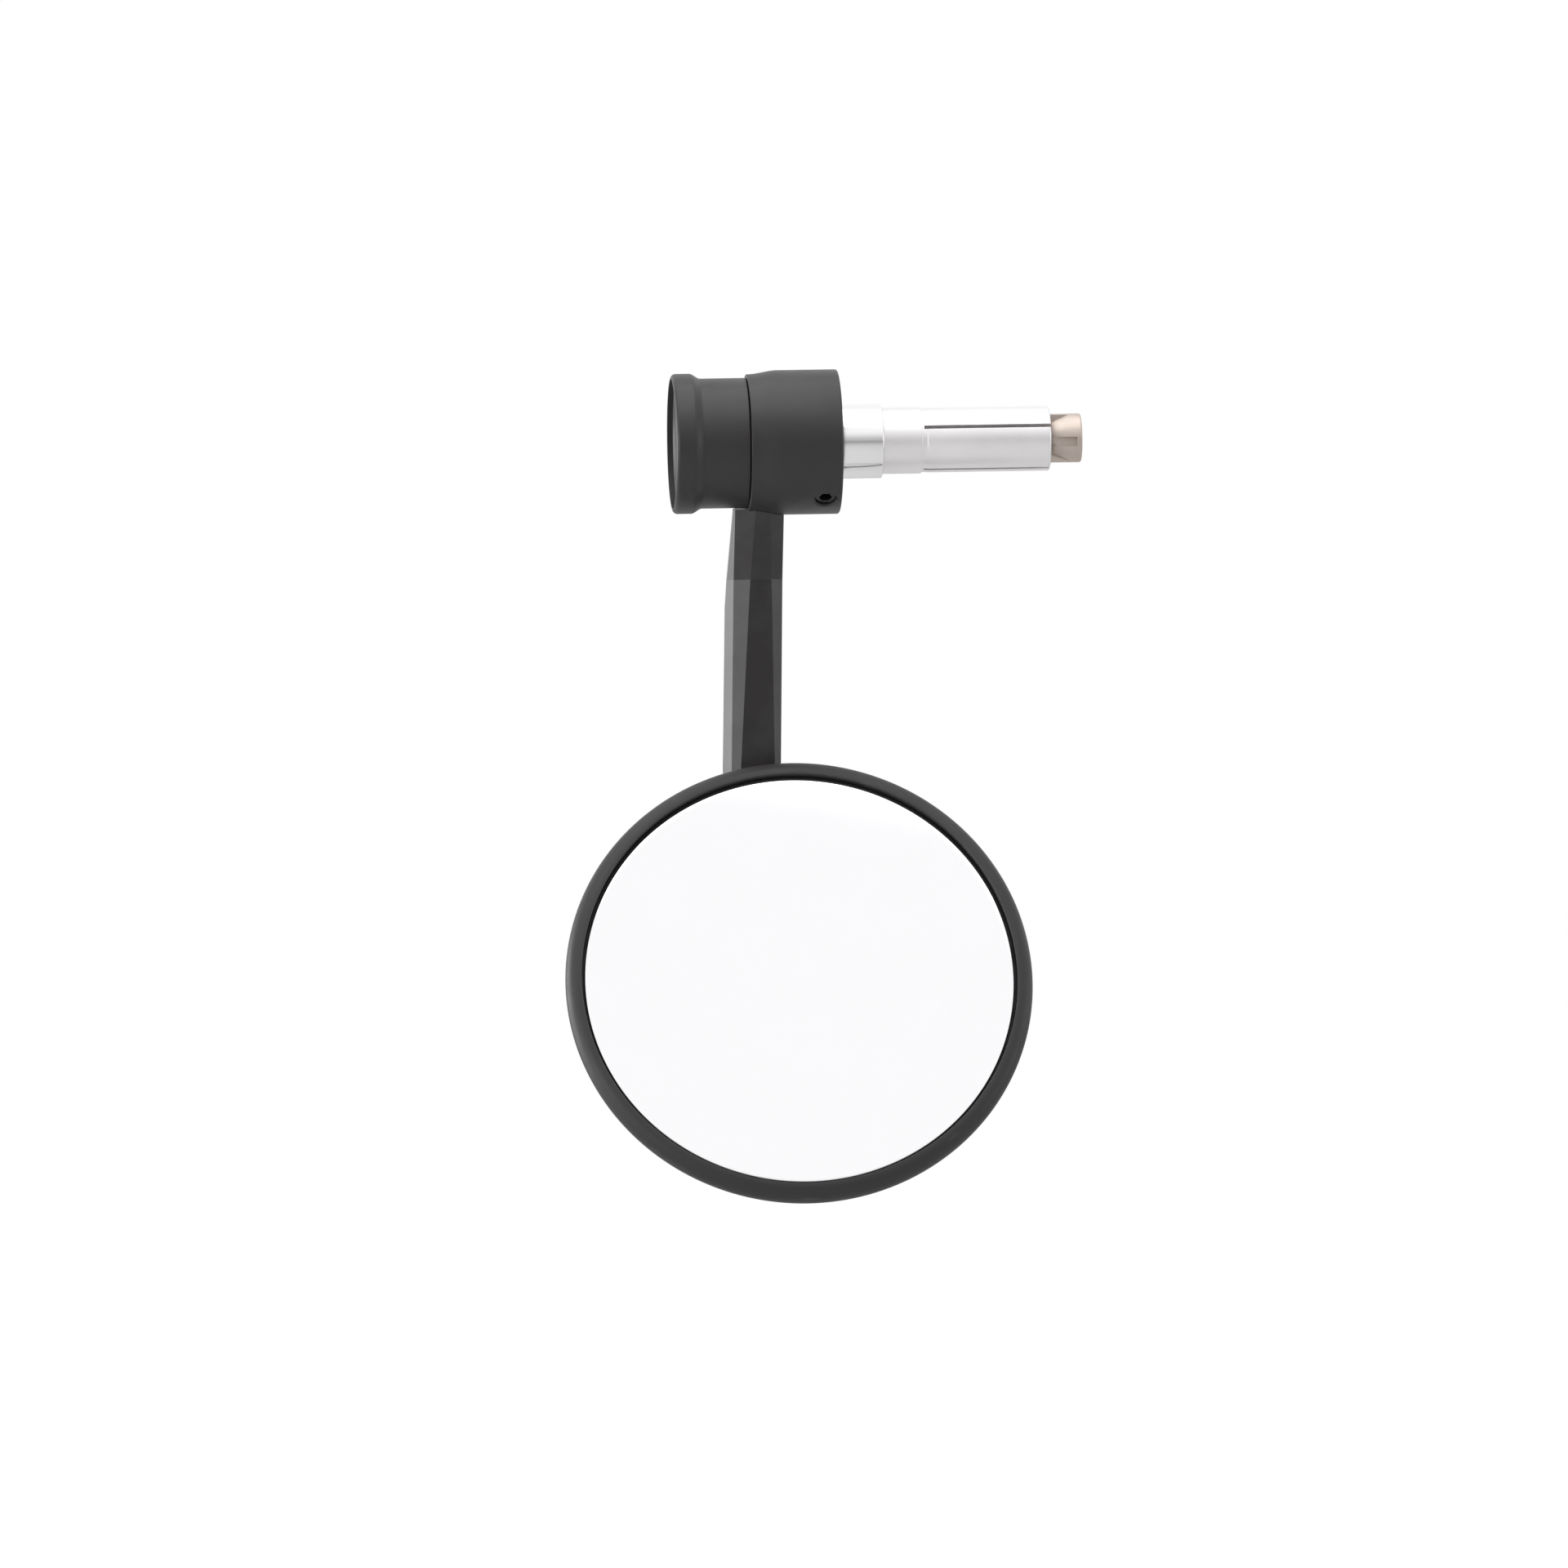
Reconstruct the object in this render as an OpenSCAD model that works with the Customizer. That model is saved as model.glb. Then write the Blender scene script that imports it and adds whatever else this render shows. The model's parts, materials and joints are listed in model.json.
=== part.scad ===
// Bar end mirror for a motorcycle. An expanding plug grips inside the open end of a tubular
// handlebar. A turned end weight carries a clamp ring, and a faceted stem hangs from the ring
// and holds a round convex mirror on a ball joint.
// X runs along the bar axis towards the plug, Z is up, and the glass looks towards -Y.
// The origin is on the bar axis, at the seat of the expander sleeve.

/* [Expanding plug] */
// Outer radius of the plain part of the expander sleeve
sleeve_r = 7.3; // [7.2:0.1:7.9]
// Outer radius of the slotted part of the expander sleeve
grip_r = 7.1; // [6.8:0.1:7.1]
// Length of the expander sleeve
sleeve_len = 37.1; // [32:0.1:50]
// Length of the slots in the sleeve
slot_len = 28; // [10:0.1:29]
// Width of each slot in the sleeve
slot_w = 0.8; // [0.6:0.1:1.6]
// Number of slots in the sleeve
slot_count = 4; // [3:1:6]
// Turn of the slots about the bar axis
slot_turn = -22.5; // [-45:0.5:44]
// Radius of the spacer collar
spacer_r = 8.15; // [8.1:0.05:10]
// Length of the spacer collar that shows
spacer_len = 9.5; // [5:0.5:20]
// Largest radius of the expander cone
cone_r = 5.38; // [5:0.01:5.6]
// Radius of the expander cone at the mouth of the sleeve
cone_neck_r = 3.9; // [3.6:0.05:4.2]
// Length of the taper of the expander cone outside the sleeve
cone_taper = 4.2; // [4:0.1:6]
// Length of the expander cone outside the sleeve
cone_out = 7; // [6.2:0.1:12]
// Length of the expander cone inside the sleeve
cone_in = 1.2; // [0.6:0.1:1.5]
// Width of the ribs on the expander cone
rib_w = 2; // [0.8:0.1:2.4]
// Width of the keyway in the expander cone
key_w = 2; // [1:0.1:2.4]
// Depth of the keyway in the expander cone
key_depth = 1.3; // [0.6:0.1:1.6]
// Radius of the draw bolt
bolt_r = 2.5; // [2:0.1:2.8]
// Radius of the head of the draw bolt
bolt_head_r = 4.25; // [4:0.05:5]
// Height of the head of the draw bolt
bolt_head_h = 5; // [4:0.1:6]

/* [End weight] */
// Length of the end weight outside the ring
cap_len = 16.4; // [16:0.1:30]
// Radius of the hub that carries the clamp ring
hub_r = 11.4; // [10:0.1:12]
// Height of the waist above the hub
waist_wall = 2.9; // [2.4:0.1:4]
// Height of the lip above the waist
lip_step = 1.1; // [0.6:0.1:3]
// Length of the lip
lip_len = 4; // [3:0.1:7]
// Length of the taper between lip and waist
taper_len = 2.4; // [1:0.1:4]
// Wall of the lip round the disc that closes the outer face
lip_wall = 1.2; // [1.1:0.1:3]
// Thickness of the disc that closes the outer face
disc_t = 1.5; // [1:0.1:2.5]
// Depth of the face of the disc below the lip
disc_depth = 1.2; // [0.6:0.1:2]

/* [Clamp ring] */
// Length of the clamp ring
ring_len = 20.1; // [18:0.1:30]
// Wall of the clamp ring
ring_wall = 4.5; // [4.3:0.1:6]
// Wall of the clamp ring at the seam
seam_wall = 3.7; // [3.4:0.1:4.1]
// Length of the flare from the seam to the full radius
flare_len = 6.8; // [4:0.1:10]
// Radius of the grub screw
grub_r = 2.3; // [2:0.1:2.6]
// Distance of the grub screw from the plug end of the ring
grub_x = 3.6; // [3.4:0.1:6]
// Turn of the grub screw from straight down
grub_turn = -34.2; // [-60:0.1:-20]

/* [Stem] */
// Distance from the plug end of the ring to the stem
stem_x = 12.1; // [12:0.1:14]
// Width of the stem at the ring
stem_top_w = 10.9; // [10:0.1:12]
// Width of the stem at the kink
stem_kink_w = 12.1; // [11.5:0.1:13]
// Width of the stem at the mirror
stem_low_w = 12.5; // [11.5:0.1:14]
// Thickness of the stem
stem_t = 7.6; // [7:0.1:9]
// Front face of the stem at the ring
stem_top_y = -3.6; // [-4:0.1:-3]
// Front face of the stem at the kink
stem_kink_y = 2.2; // [1:0.1:3]
// Front face of the stem at the mirror
stem_low_y = 4.3; // [3:0.1:6]
// Depth of the kink below the bar axis
kink_drop = 30; // [28:1:40]
// Depth below the bar axis at which the stem turns to the mirror
turn_drop = 84; // [76:1:90]
// Radius of the eye at the lower end of the stem
eye_r = 7.8; // [6.5:0.1:9]
// Length of the eye
eye_len = 9; // [6:0.5:12]

/* [Ball joint] */
// Distance of the ball from the sleeve seat along the bar
ball_x = 21.8; // [17:0.1:25]
// Distance of the ball in front of the bar axis
ball_front = 12.5; // [11:0.1:16]
// Depth of the ball below the bar axis
ball_drop = 122.6; // [116:0.1:134]
// Radius of the ball
ball_r = 6; // [5.5:0.1:6.4]
// Radius of the neck of the ball stud
neck_r = 2.8; // [2.4:0.1:3]
// Distance from the ball centre to the collar of the stud
neck_len = 12; // [11.5:0.1:15]
// Thickness of the collar of the stud
collar_t = 4; // [2:0.5:6]
// Radius of the shank of the stud
shank_r = 3; // [2.5:0.1:3.5]
// Upward tilt of the ball stud
stud_tilt = 11; // [6:0.5:15]
// Wall of the friction cups
cup_wall = 1.5; // [1:0.1:1.8]
// Thickness of the clamp plate above its seat
plate_t = 4.4; // [4:0.1:5]

/* [Mirror head] */
// Radius of the mirror glass
glass_r = 47; // [40:0.1:60]
// Thickness of the mirror glass
glass_t = 2; // [1.6:0.1:3]
// Radius of curvature of the convex glass
glass_curve = 1200; // [900:50:2000]
// Width of the dark gap round the glass, which the gasket fills
gasket_w = 0.5; // [0.3:0.1:1]
// Height of the rim above the edge of the glass
rim_proud = 1.6; // [0.8:0.1:2.4]
// Radius of the rounded rim in section
rim_round = 3.4; // [3:0.1:4.5]
// Slope of the back of the shell where it meets the rim
back_slope = 17; // [12:0.5:20]
// Wall of the shell
shell_wall = 2.2; // [1.6:0.1:2.6]
// Distance from the ball centre to the edge of the glass face
glass_ahead = 13.5; // [13.2:0.1:18]
// Lean of the head away from upright
head_tilt = 21.2; // [5:0.1:24]
// Turn of the head about the vertical
head_yaw = -1; // [-6:0.1:6]

/* [Hidden] */
$fn = 96;

// Clearances
cut = 1;
face_gap = 0.05;
seat_gap = 0.05;
shaft_gap = 0.05;
bolt_gap = 0.25;
seam_gap = 0.12;
stem_gap = 0.4;
thread_gap = 0.04;

// Radii of the end weight and the clamp ring
waist_r = hub_r + waist_wall;
lip_r = waist_r + lip_step;
disc_r = lip_r - lip_wall;
ring_r = hub_r + ring_wall;
seam_r = hub_r + seam_wall;

// Places along the bar axis
ring_x1 = -spacer_len;
ring_x0 = ring_x1 - ring_len;
cap_x1 = ring_x0 - seam_gap;
cap_x0 = cap_x1 - cap_len;
hub_x1 = ring_x1 - 0.6;
disc_x0 = cap_x0 + disc_depth;
disc_x1 = disc_x0 + disc_t;
bolt_seat_x = disc_x1 + bolt_head_h + 3.8;
washer_t = 1;
lock_t = 1.2;
bolt_head_x = bolt_seat_x - washer_t - lock_t - 3 * face_gap;
bolt_end_x = sleeve_len + cone_out - 1.2;
bolt_hole_r = bolt_r + bolt_gap;
bolt_socket_af = 4;
bolt_socket_depth = 2.6;
counterbore_r = bolt_head_r + 0.7;
washer_r = bolt_head_r + 0.5;

// Rounded edges of the turned parts
lip_round = 1;
edge_round = 0.5;
seam_round = 0.25;
dish_depth = 0.5;

// Expanding plug
mouth_r = cone_r + 0.22;
mouth_len = 4.5;
cone_slope = (cone_r - cone_neck_r) / cone_taper;
seat_len = (mouth_r - bolt_hole_r) / cone_slope;
sleeve_chamfer = 0.5;
band_w = 1.2;
band_depth = 0.12;
step_ahead = 0.4;
cone_chamfer = 0.4;
rib_turns = [-81, 79, 180];
rib_low = 0.03;
key_turn = -1;

// Grub screw and the groove that it runs in
groove_depth = 0.8;
groove_w = 4.6;
grub_tip_r = hub_r - groove_depth + 0.3;
grub_top_r = ring_r - 0.9;
grub_socket_af = 2.5;
grub_socket_depth = 2;

// Screw and dowel that hold the stem
stem_screw_r = 1.5;
stem_screw_head_r = 2.7;
stem_screw_x = ring_x1 - stem_x - 2.1;
stem_screw_turn = 7;
stem_screw_tip = hub_r + 10.6;
stem_dowel_r = 1;
stem_dowel_x = stem_screw_x - 4.1;
stem_dowel_top = hub_r + 1;
stem_dowel_tip = hub_r + 7.6;

// Stem stations: depth, front face, right edge, width, and widths of the light, middle and
// right facets
stem_right = ring_x1 - stem_x;
stem_top_drop = hub_r + 0.7;
edge_drop = kink_drop + 6;
edge_y = stem_kink_y + 0.4;
low_drop = 71;
stem_stations = [
    [stem_top_drop, stem_top_y, stem_right, stem_top_w, 0.15, 4.5, 3.25],
    [kink_drop, stem_kink_y, stem_right - 0.3, stem_kink_w, 1.3, 3.55, 2.6],
    [edge_drop, edge_y, stem_right - 0.45, stem_kink_w + 0.3, 1.6, 3.3, 2.35],
    [low_drop, stem_low_y, stem_right - 1.25, stem_low_w, 1.6, 2, 1.45],
    [turn_drop, stem_low_y, stem_right - 1.3, stem_low_w, 1.6, 1.85, 1.35]];
light_slope = 58;
middle_slope = 29;
right_slope = 38;
back_chamfer = 1.6;
slice_t = 0.02;

// Ball joint: the stud runs back from the ball along its own axis
ball_pos = [-ball_x, -ball_front, -ball_drop];
collar_z = -neck_len;
eye_z = collar_z - collar_t;
stud_washer_t = 1.2;
stud_washer_r = shank_r + 3.2;
stud_nut_t = 5;
stud_nut_af = 10;
stud_nut_z = eye_z - eye_len - stud_washer_t - 2 * face_gap;
stud_end_z = stud_nut_z - stud_nut_t - 1.2;
cup_in_r = ball_r + shaft_gap;
cup_out_r = cup_in_r + cup_wall;
socket_r = cup_out_r + shaft_gap;
rear_cup_from = 48;
rear_cup_to = 76;
front_cup_from = 32;
front_cup_to = 62;

// Socket boss of the shell, clamp plate and its screws
boss_r = socket_r + 5.6;
boss_back = -7;
boss_front = 4.2;
boss_round = 1.6;
socket_open_r = 5.3;
plate_r = boss_r - 0.3;
plate_z0 = boss_front + face_gap;
plate_z1 = plate_z0 + plate_t;
plate_screw_r = 1.5;
plate_screw_head_r = 2.7;
plate_screw_head_h = 1.6;
plate_screw_pcr = socket_r + 2.7;
plate_screw_tip = -4;
plate_screw_count = 3;

// Shell: rim arc, then a dome that meets it at the back slope
recess_r = glass_r + gasket_w;
rim_core_z = glass_ahead + rim_proud - rim_round;
rim_core_r = recess_r + 0.16;
dome_start = -90 + back_slope;
dome_edge = [rim_core_r + rim_round * cos(dome_start), rim_core_z + rim_round * sin(dome_start)];
dome_r = dome_edge[0] / sin(back_slope);
dome_z = dome_edge[1] + dome_r * cos(back_slope);
glass_back = glass_ahead - glass_t;
gasket_t = 0.8;
gasket_land = 4;
ledge_z = glass_back - gasket_t - 2 * face_gap;
ledge_r = recess_r - gasket_land;
pad_t = 0.8;
steps = 12;

function smooth(t) = t * t * (3 - 2 * t);
function span(a, b, n) = [for (i = [0 : n]) a + (b - a) * i / n];
function arc(c, r, a0, a1, n) = [for (a = span(a0, a1, n)) [c[0] + r * cos(a), c[1] + r * sin(a)]];
function blend(x0, r0, x1, r1, n) =
    [for (t = span(0, 1, n)) [r0 + (r1 - r0) * smooth(t), x0 + (x1 - x0) * t]];
function dome_at(r, inset) = dome_z - sqrt(pow(dome_r - inset, 2) - r * r);
function bulge(r) = sqrt(glass_curve * glass_curve - r * r)
    - sqrt(glass_curve * glass_curve - glass_r * glass_r);

// Turns a shape drawn along Z to lie along the bar axis
module along_bar(x = 0) {
    translate([x, 0, 0]) rotate([0, 90, 0]) children();
}

// Places a shape drawn along Z on a radius of the bar axis, turned from straight down
module radial(x, turn) {
    translate([x, 0, 0]) rotate([180 + turn, 0, 0]) children();
}

// Ball stud frame: Z points out of the front of the ball
module on_stud() {
    translate(ball_pos) rotate([90 - stud_tilt, 0, 0]) children();
}

// Head frame: Z points out of the glass
module on_head() {
    translate(ball_pos) rotate([90 - head_tilt, 0, head_yaw]) children();
}

// Six-sided bar with the given width across flats
module hexagon(across, h) {
    cylinder(r = across / sqrt(3), h = h, $fn = 6);
}

module end_weight_turning() {
    rotate_extrude() polygon(concat(
        [[0, cap_x0]],
        arc([lip_r - lip_round, cap_x0 + lip_round], lip_round, -90, 0, 6),
        blend(cap_x0 + lip_len, lip_r, cap_x0 + lip_len + taper_len, waist_r, 8),
        arc([waist_r - seam_round, cap_x1 - seam_round], seam_round, 0, 90, 3),
        [[hub_r, cap_x1], [hub_r, hub_x1 - edge_round], [hub_r - edge_round, hub_x1],
            [0, hub_x1]]));
}

module hub_groove() {
    mid = ring_x1 - grub_x;
    floor_w = groove_w - 2 * groove_depth;
    rotate_extrude() polygon([
        [hub_r - groove_depth, mid - floor_w / 2], [hub_r + cut, mid - groove_w / 2 - cut],
        [hub_r + cut, mid + groove_w / 2 + cut], [hub_r - groove_depth, mid + floor_w / 2]]);
}

module end_weight() {
    color([0.2, 0.2, 0.21]) difference() {
        along_bar() end_weight_turning();
        along_bar() hub_groove();
        along_bar(cap_x0 - cut) cylinder(r = disc_r + seat_gap, h = disc_x1 - cap_x0 + cut);
        along_bar(cap_x0 - cut) cylinder(r = counterbore_r, h = bolt_seat_x - cap_x0 + cut);
        along_bar(cap_x0) cylinder(r = bolt_hole_r, h = hub_x1 - cap_x0 + cut);
    }
}

module face_disc() {
    color([0.2, 0.2, 0.21]) difference() {
        along_bar(disc_x0) cylinder(r = disc_r, h = disc_t - face_gap);
        along_bar(disc_x0 - cut)
            cylinder(r1 = disc_r - 1.6 + cut, r2 = disc_r - 2.2, h = cut + dish_depth);
    }
}

module bolt_washer() {
    color([0.72, 0.73, 0.74]) difference() {
        along_bar(bolt_seat_x - washer_t - face_gap) cylinder(r = washer_r, h = washer_t);
        along_bar(bolt_seat_x - washer_t - cut) cylinder(r = bolt_hole_r, h = washer_t + 2 * cut);
    }
}

module lock_washer() {
    lock_x = bolt_seat_x - washer_t - lock_t - 2 * face_gap;
    split = 0.8;
    color([0.72, 0.73, 0.74]) difference() {
        along_bar(lock_x) cylinder(r = bolt_head_r, h = lock_t);
        along_bar(lock_x - cut) cylinder(r = bolt_hole_r, h = lock_t + 2 * cut);
        translate([lock_x - cut, -split / 2, 0]) cube([lock_t + 2 * cut, split, bolt_head_r + cut]);
    }
}

module spacer_collar() {
    color([0.86, 0.87, 0.88]) difference() {
        along_bar() rotate_extrude() polygon([
            [0, hub_x1 + face_gap], [spacer_r, hub_x1 + face_gap],
            [spacer_r, -edge_round / 2], [spacer_r - edge_round / 2, 0], [0, 0]]);
        along_bar(hub_x1 - cut) cylinder(r = bolt_hole_r, h = -hub_x1 + 2 * cut);
    }
}

module sleeve_slots() {
    for (i = [0 : slot_count - 1]) {
        rotate([slot_turn + i * 360 / slot_count, 0, 0])
            translate([sleeve_len - slot_len, -sleeve_r - cut, -slot_w / 2])
                cube([slot_len + cut, sleeve_r + cut, slot_w]);
    }
}

module expander_sleeve() {
    mouth_x = sleeve_len - mouth_len;
    step_x = sleeve_len - slot_len - step_ahead;
    color([0.8, 0.81, 0.83]) difference() {
        along_bar() rotate_extrude() polygon([
            [bolt_hole_r, face_gap], [sleeve_r, face_gap], [sleeve_r, step_x],
            [grip_r - band_depth, step_x], [grip_r - band_depth, step_x + band_w],
            [grip_r, step_x + band_w], [grip_r, sleeve_len - sleeve_chamfer],
            [grip_r - sleeve_chamfer, sleeve_len], [mouth_r, sleeve_len],
            [mouth_r, mouth_x], [bolt_hole_r, mouth_x - seat_len]]);
        sleeve_slots();
    }
}

module draw_bolt() {
    shank = bolt_end_x - bolt_head_x;
    color([0.6, 0.61, 0.62]) difference() {
        union() {
            along_bar(bolt_head_x) cylinder(r = bolt_r, h = shank - edge_round);
            along_bar(bolt_end_x - edge_round)
                cylinder(r1 = bolt_r, r2 = bolt_r - edge_round, h = edge_round);
            along_bar(bolt_head_x - bolt_head_h) cylinder(r = bolt_head_r, h = bolt_head_h);
        }
        along_bar(bolt_head_x - bolt_head_h - cut) hexagon(bolt_socket_af, bolt_socket_depth + cut);
    }
}

module cone_ribs() {
    rib_len = cone_in + cone_taper;
    for (turn = rib_turns) {
        rotate([turn, 0, 0]) translate([sleeve_len - cone_in, -cone_r, -rib_w / 2])
            cube([rib_len, cone_r - bolt_r - 3 * thread_gap, rib_w]);
    }
}

module expander_cone() {
    nose_r = cone_neck_r - cone_in * cone_slope;
    full_x = sleeve_len + cone_taper;
    end_x = sleeve_len + cone_out;
    color([0.78, 0.71, 0.64]) difference() {
        union() {
            along_bar() rotate_extrude() polygon([
                [0, sleeve_len - cone_in], [nose_r, sleeve_len - cone_in], [cone_r, full_x],
                [cone_r, end_x - cone_chamfer], [cone_r - cone_chamfer, end_x], [0, end_x]]);
            intersection() {
                cone_ribs();
                along_bar(sleeve_len - cone_in) cylinder(r = cone_r - rib_low, h = cone_in + cone_taper);
            }
        }
        rotate([key_turn, 0, 0]) translate([sleeve_len - cone_in - cut, -cone_r - cut, -key_w])
            cube([cone_in + cone_out - cone_chamfer - 0.8 + cut, key_depth + cut, key_w]);
        along_bar(sleeve_len - cone_in - cut)
            cylinder(r = bolt_r + shaft_gap, h = cone_in + cone_out + 2 * cut);
    }
}

// Outline of the clamp ring as radius against place, grown by a gap
function ring_outline(gap) = concat(
    arc([seam_r + gap - seam_round, ring_x0 + seam_round], seam_round, -90, 0, 3),
    blend(ring_x0 + 2 * seam_round, seam_r + gap, ring_x0 + flare_len, ring_r + gap, 8),
    arc([ring_r + gap - edge_round, ring_x1 - edge_round], edge_round, 0, 90, 4));

module clamp_ring() {
    bore_r = hub_r + shaft_gap;
    color([0.21, 0.21, 0.22]) difference() {
        along_bar() rotate_extrude() polygon(concat(
            [[bore_r, ring_x0]], ring_outline(0), [[bore_r, ring_x1]]));
        radial(ring_x1 - grub_x, grub_turn) cylinder(r = grub_r + thread_gap, h = ring_r + cut);
        radial(stem_screw_x, stem_screw_turn) cylinder(r = stem_screw_r + seat_gap, h = ring_r + cut);
        radial(stem_screw_x, stem_screw_turn) translate([0, 0, hub_r - cut])
            cylinder(r1 = stem_screw_head_r + cut, r2 = 0, h = stem_screw_head_r + cut);
        radial(stem_dowel_x, stem_screw_turn) cylinder(r = stem_dowel_r + seat_gap, h = ring_r + cut);
    }
}

module grub_screw() {
    color([0.28, 0.28, 0.29]) radial(ring_x1 - grub_x, grub_turn) difference() {
        union() {
            translate([0, 0, grub_tip_r]) cylinder(r1 = grub_r - 0.9, r2 = grub_r, h = 0.9);
            translate([0, 0, grub_tip_r + 0.9]) cylinder(r = grub_r, h = grub_top_r - grub_tip_r - 0.9);
        }
        translate([0, 0, grub_top_r - grub_socket_depth]) hexagon(grub_socket_af, grub_socket_depth + cut);
    }
}

// Section of the stem at one station, a thin slice
module stem_slice(s) {
    front = s[1];
    right = s[2];
    left = right - s[3];
    middle_back = s[5] * tan(middle_slope);
    light_back = middle_back + s[4] * tan(light_slope);
    right_back = s[6] * tan(right_slope);
    back = front + stem_t;
    translate([0, 0, -s[0]]) linear_extrude(slice_t) polygon([
        [left, front + light_back], [left + s[4], front + middle_back],
        [left + s[4] + s[5], front], [right - s[6], front], [right, front + right_back],
        [right, back - back_chamfer], [right - back_chamfer, back],
        [left + back_chamfer, back], [left, back - back_chamfer]]);
}

module stem_body() {
    for (i = [0 : len(stem_stations) - 2]) {
        hull() {
            stem_slice(stem_stations[i]);
            stem_slice(stem_stations[i + 1]);
        }
    }
    hull() {
        stem_slice(stem_stations[len(stem_stations) - 1]);
        on_stud() translate([0, 0, eye_z - eye_len + 1])
            cylinder(r = eye_r - 0.3, h = eye_len - 2, $fn = 32);
    }
    on_stud() translate([0, 0, eye_z - eye_len]) cylinder(r = eye_r, h = eye_len - face_gap);
}

module stem() {
    color([0.19, 0.18, 0.19]) difference() {
        stem_body();
        along_bar() rotate_extrude() polygon(concat(
            [[0, ring_x0]], ring_outline(seat_gap), [[0, ring_x1]]));
        along_bar(cap_x0) cylinder(r = waist_r + stem_gap, h = cap_len + 2 * seam_gap);
        radial(stem_screw_x, stem_screw_turn)
            cylinder(r = stem_screw_r + seat_gap, h = stem_screw_tip + 0.6);
        radial(stem_dowel_x, stem_screw_turn)
            cylinder(r = stem_dowel_r + seat_gap, h = stem_dowel_tip + 0.2);
        on_stud() translate([0, 0, eye_z - eye_len - cut])
            cylinder(r = shank_r + seat_gap, h = eye_len + 2 * cut);
        on_stud() translate([0, 0, eye_z - face_gap]) cylinder(r = eye_r, h = collar_t + neck_len);
        on_stud() translate([0, 0, eye_z - eye_len - eye_r]) cylinder(r = eye_r, h = eye_r);
    }
}

module stem_screw() {
    head_top = hub_r + 0.35;
    head_r = stem_screw_head_r - 0.45;
    color([0.28, 0.28, 0.29]) radial(stem_screw_x, stem_screw_turn) difference() {
        union() {
            translate([0, 0, head_top]) cylinder(r1 = head_r, r2 = stem_screw_r, h = head_r - stem_screw_r);
            translate([0, 0, head_top + 0.1])
                cylinder(r = stem_screw_r, h = stem_screw_tip - head_top - 0.1);
        }
        translate([0, 0, head_top - cut]) hexagon(2, cut + 0.9);
    }
}

module stem_dowel() {
    color([0.6, 0.61, 0.62]) radial(stem_dowel_x, stem_screw_turn)
        translate([0, 0, stem_dowel_top])
            cylinder(r = stem_dowel_r, h = stem_dowel_tip - stem_dowel_top);
}

module ball_stud() {
    color([0.62, 0.63, 0.64]) on_stud() {
        sphere(r = ball_r);
        translate([0, 0, collar_z - cut]) cylinder(r = neck_r, h = neck_len + cut);
        translate([0, 0, eye_z]) hexagon(stud_nut_af, collar_t);
        translate([0, 0, stud_end_z]) cylinder(r = shank_r, h = collar_z - stud_end_z - cut);
    }
}

module stud_washer() {
    color([0.72, 0.73, 0.74]) on_stud() translate([0, 0, eye_z - eye_len - stud_washer_t - face_gap])
        difference() {
            cylinder(r = stud_washer_r, h = stud_washer_t);
            translate([0, 0, -cut]) cylinder(r = shank_r + seat_gap, h = stud_washer_t + 2 * cut);
        }
}

module stud_nut() {
    color([0.62, 0.63, 0.64]) on_stud() translate([0, 0, stud_nut_z - stud_nut_t]) difference() {
        hexagon(stud_nut_af, stud_nut_t);
        translate([0, 0, -cut]) cylinder(r = shank_r + thread_gap, h = stud_nut_t + 2 * cut);
    }
}

// Ring cut from a spherical shell, between two angles from the Z axis
module cup_ring(from, to) {
    rotate_extrude() polygon(concat(
        arc([0, 0], cup_out_r, 90 - from, 90 - to, 8), arc([0, 0], cup_in_r, 90 - to, 90 - from, 8)));
}

module rear_cup() {
    color([0.9, 0.9, 0.87]) on_head() mirror([0, 0, 1]) cup_ring(rear_cup_from, rear_cup_to);
}

module front_cup() {
    color([0.9, 0.9, 0.87]) on_head() cup_ring(front_cup_from, front_cup_to);
}

// Outer form of the shell, back boss, dome and rim, down to the recess for the glass
module shell_outer() {
    blend_r = boss_r + 3;
    rotate_extrude() polygon(concat(
        [[0, boss_back]],
        arc([boss_r - boss_round, boss_back + boss_round], boss_round, -90, 0, 5),
        [[boss_r, dome_at(blend_r, 0) - 2.4], [boss_r + 1, dome_at(blend_r, 0) - 0.8]],
        [for (r = span(blend_r, dome_edge[0], 10)) [r, dome_at(r, 0)]],
        arc([rim_core_r, rim_core_z], rim_round, dome_start, 90, steps),
        [[recess_r, rim_core_z + rim_round - 0.1], [recess_r, ledge_z], [0, ledge_z]]));
}

module shell_hollow() {
    rotate_extrude() polygon(concat(
        [[boss_r + 1, ledge_z + cut], [boss_r + 1, dome_at(boss_r + 1, shell_wall)]],
        [for (r = span(boss_r + 2, ledge_r, 8)) [r, dome_at(r, shell_wall)]],
        [[ledge_r, ledge_z + cut]]));
    translate([0, 0, boss_front]) cylinder(r = boss_r + 1.2, h = ledge_z - boss_front + cut);
}

// Places a shape at each screw of the clamp plate
module at_plate_screws() {
    for (i = [0 : plate_screw_count - 1]) {
        rotate([0, 0, 90 + i * 360 / plate_screw_count]) translate([plate_screw_pcr, 0, 0]) children();
    }
}

module head_shell() {
    color([0.2, 0.2, 0.21]) on_head() difference() {
        shell_outer();
        shell_hollow();
        sphere(r = socket_r);
        cylinder(r = socket_r, h = boss_front + cut);
        translate([0, 0, boss_back - cut]) cylinder(r = socket_open_r, h = cut - boss_back);
        at_plate_screws() translate([0, 0, plate_screw_tip - 0.5])
            cylinder(r = plate_screw_r + seat_gap, h = boss_front - plate_screw_tip + cut);
    }
}

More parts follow.
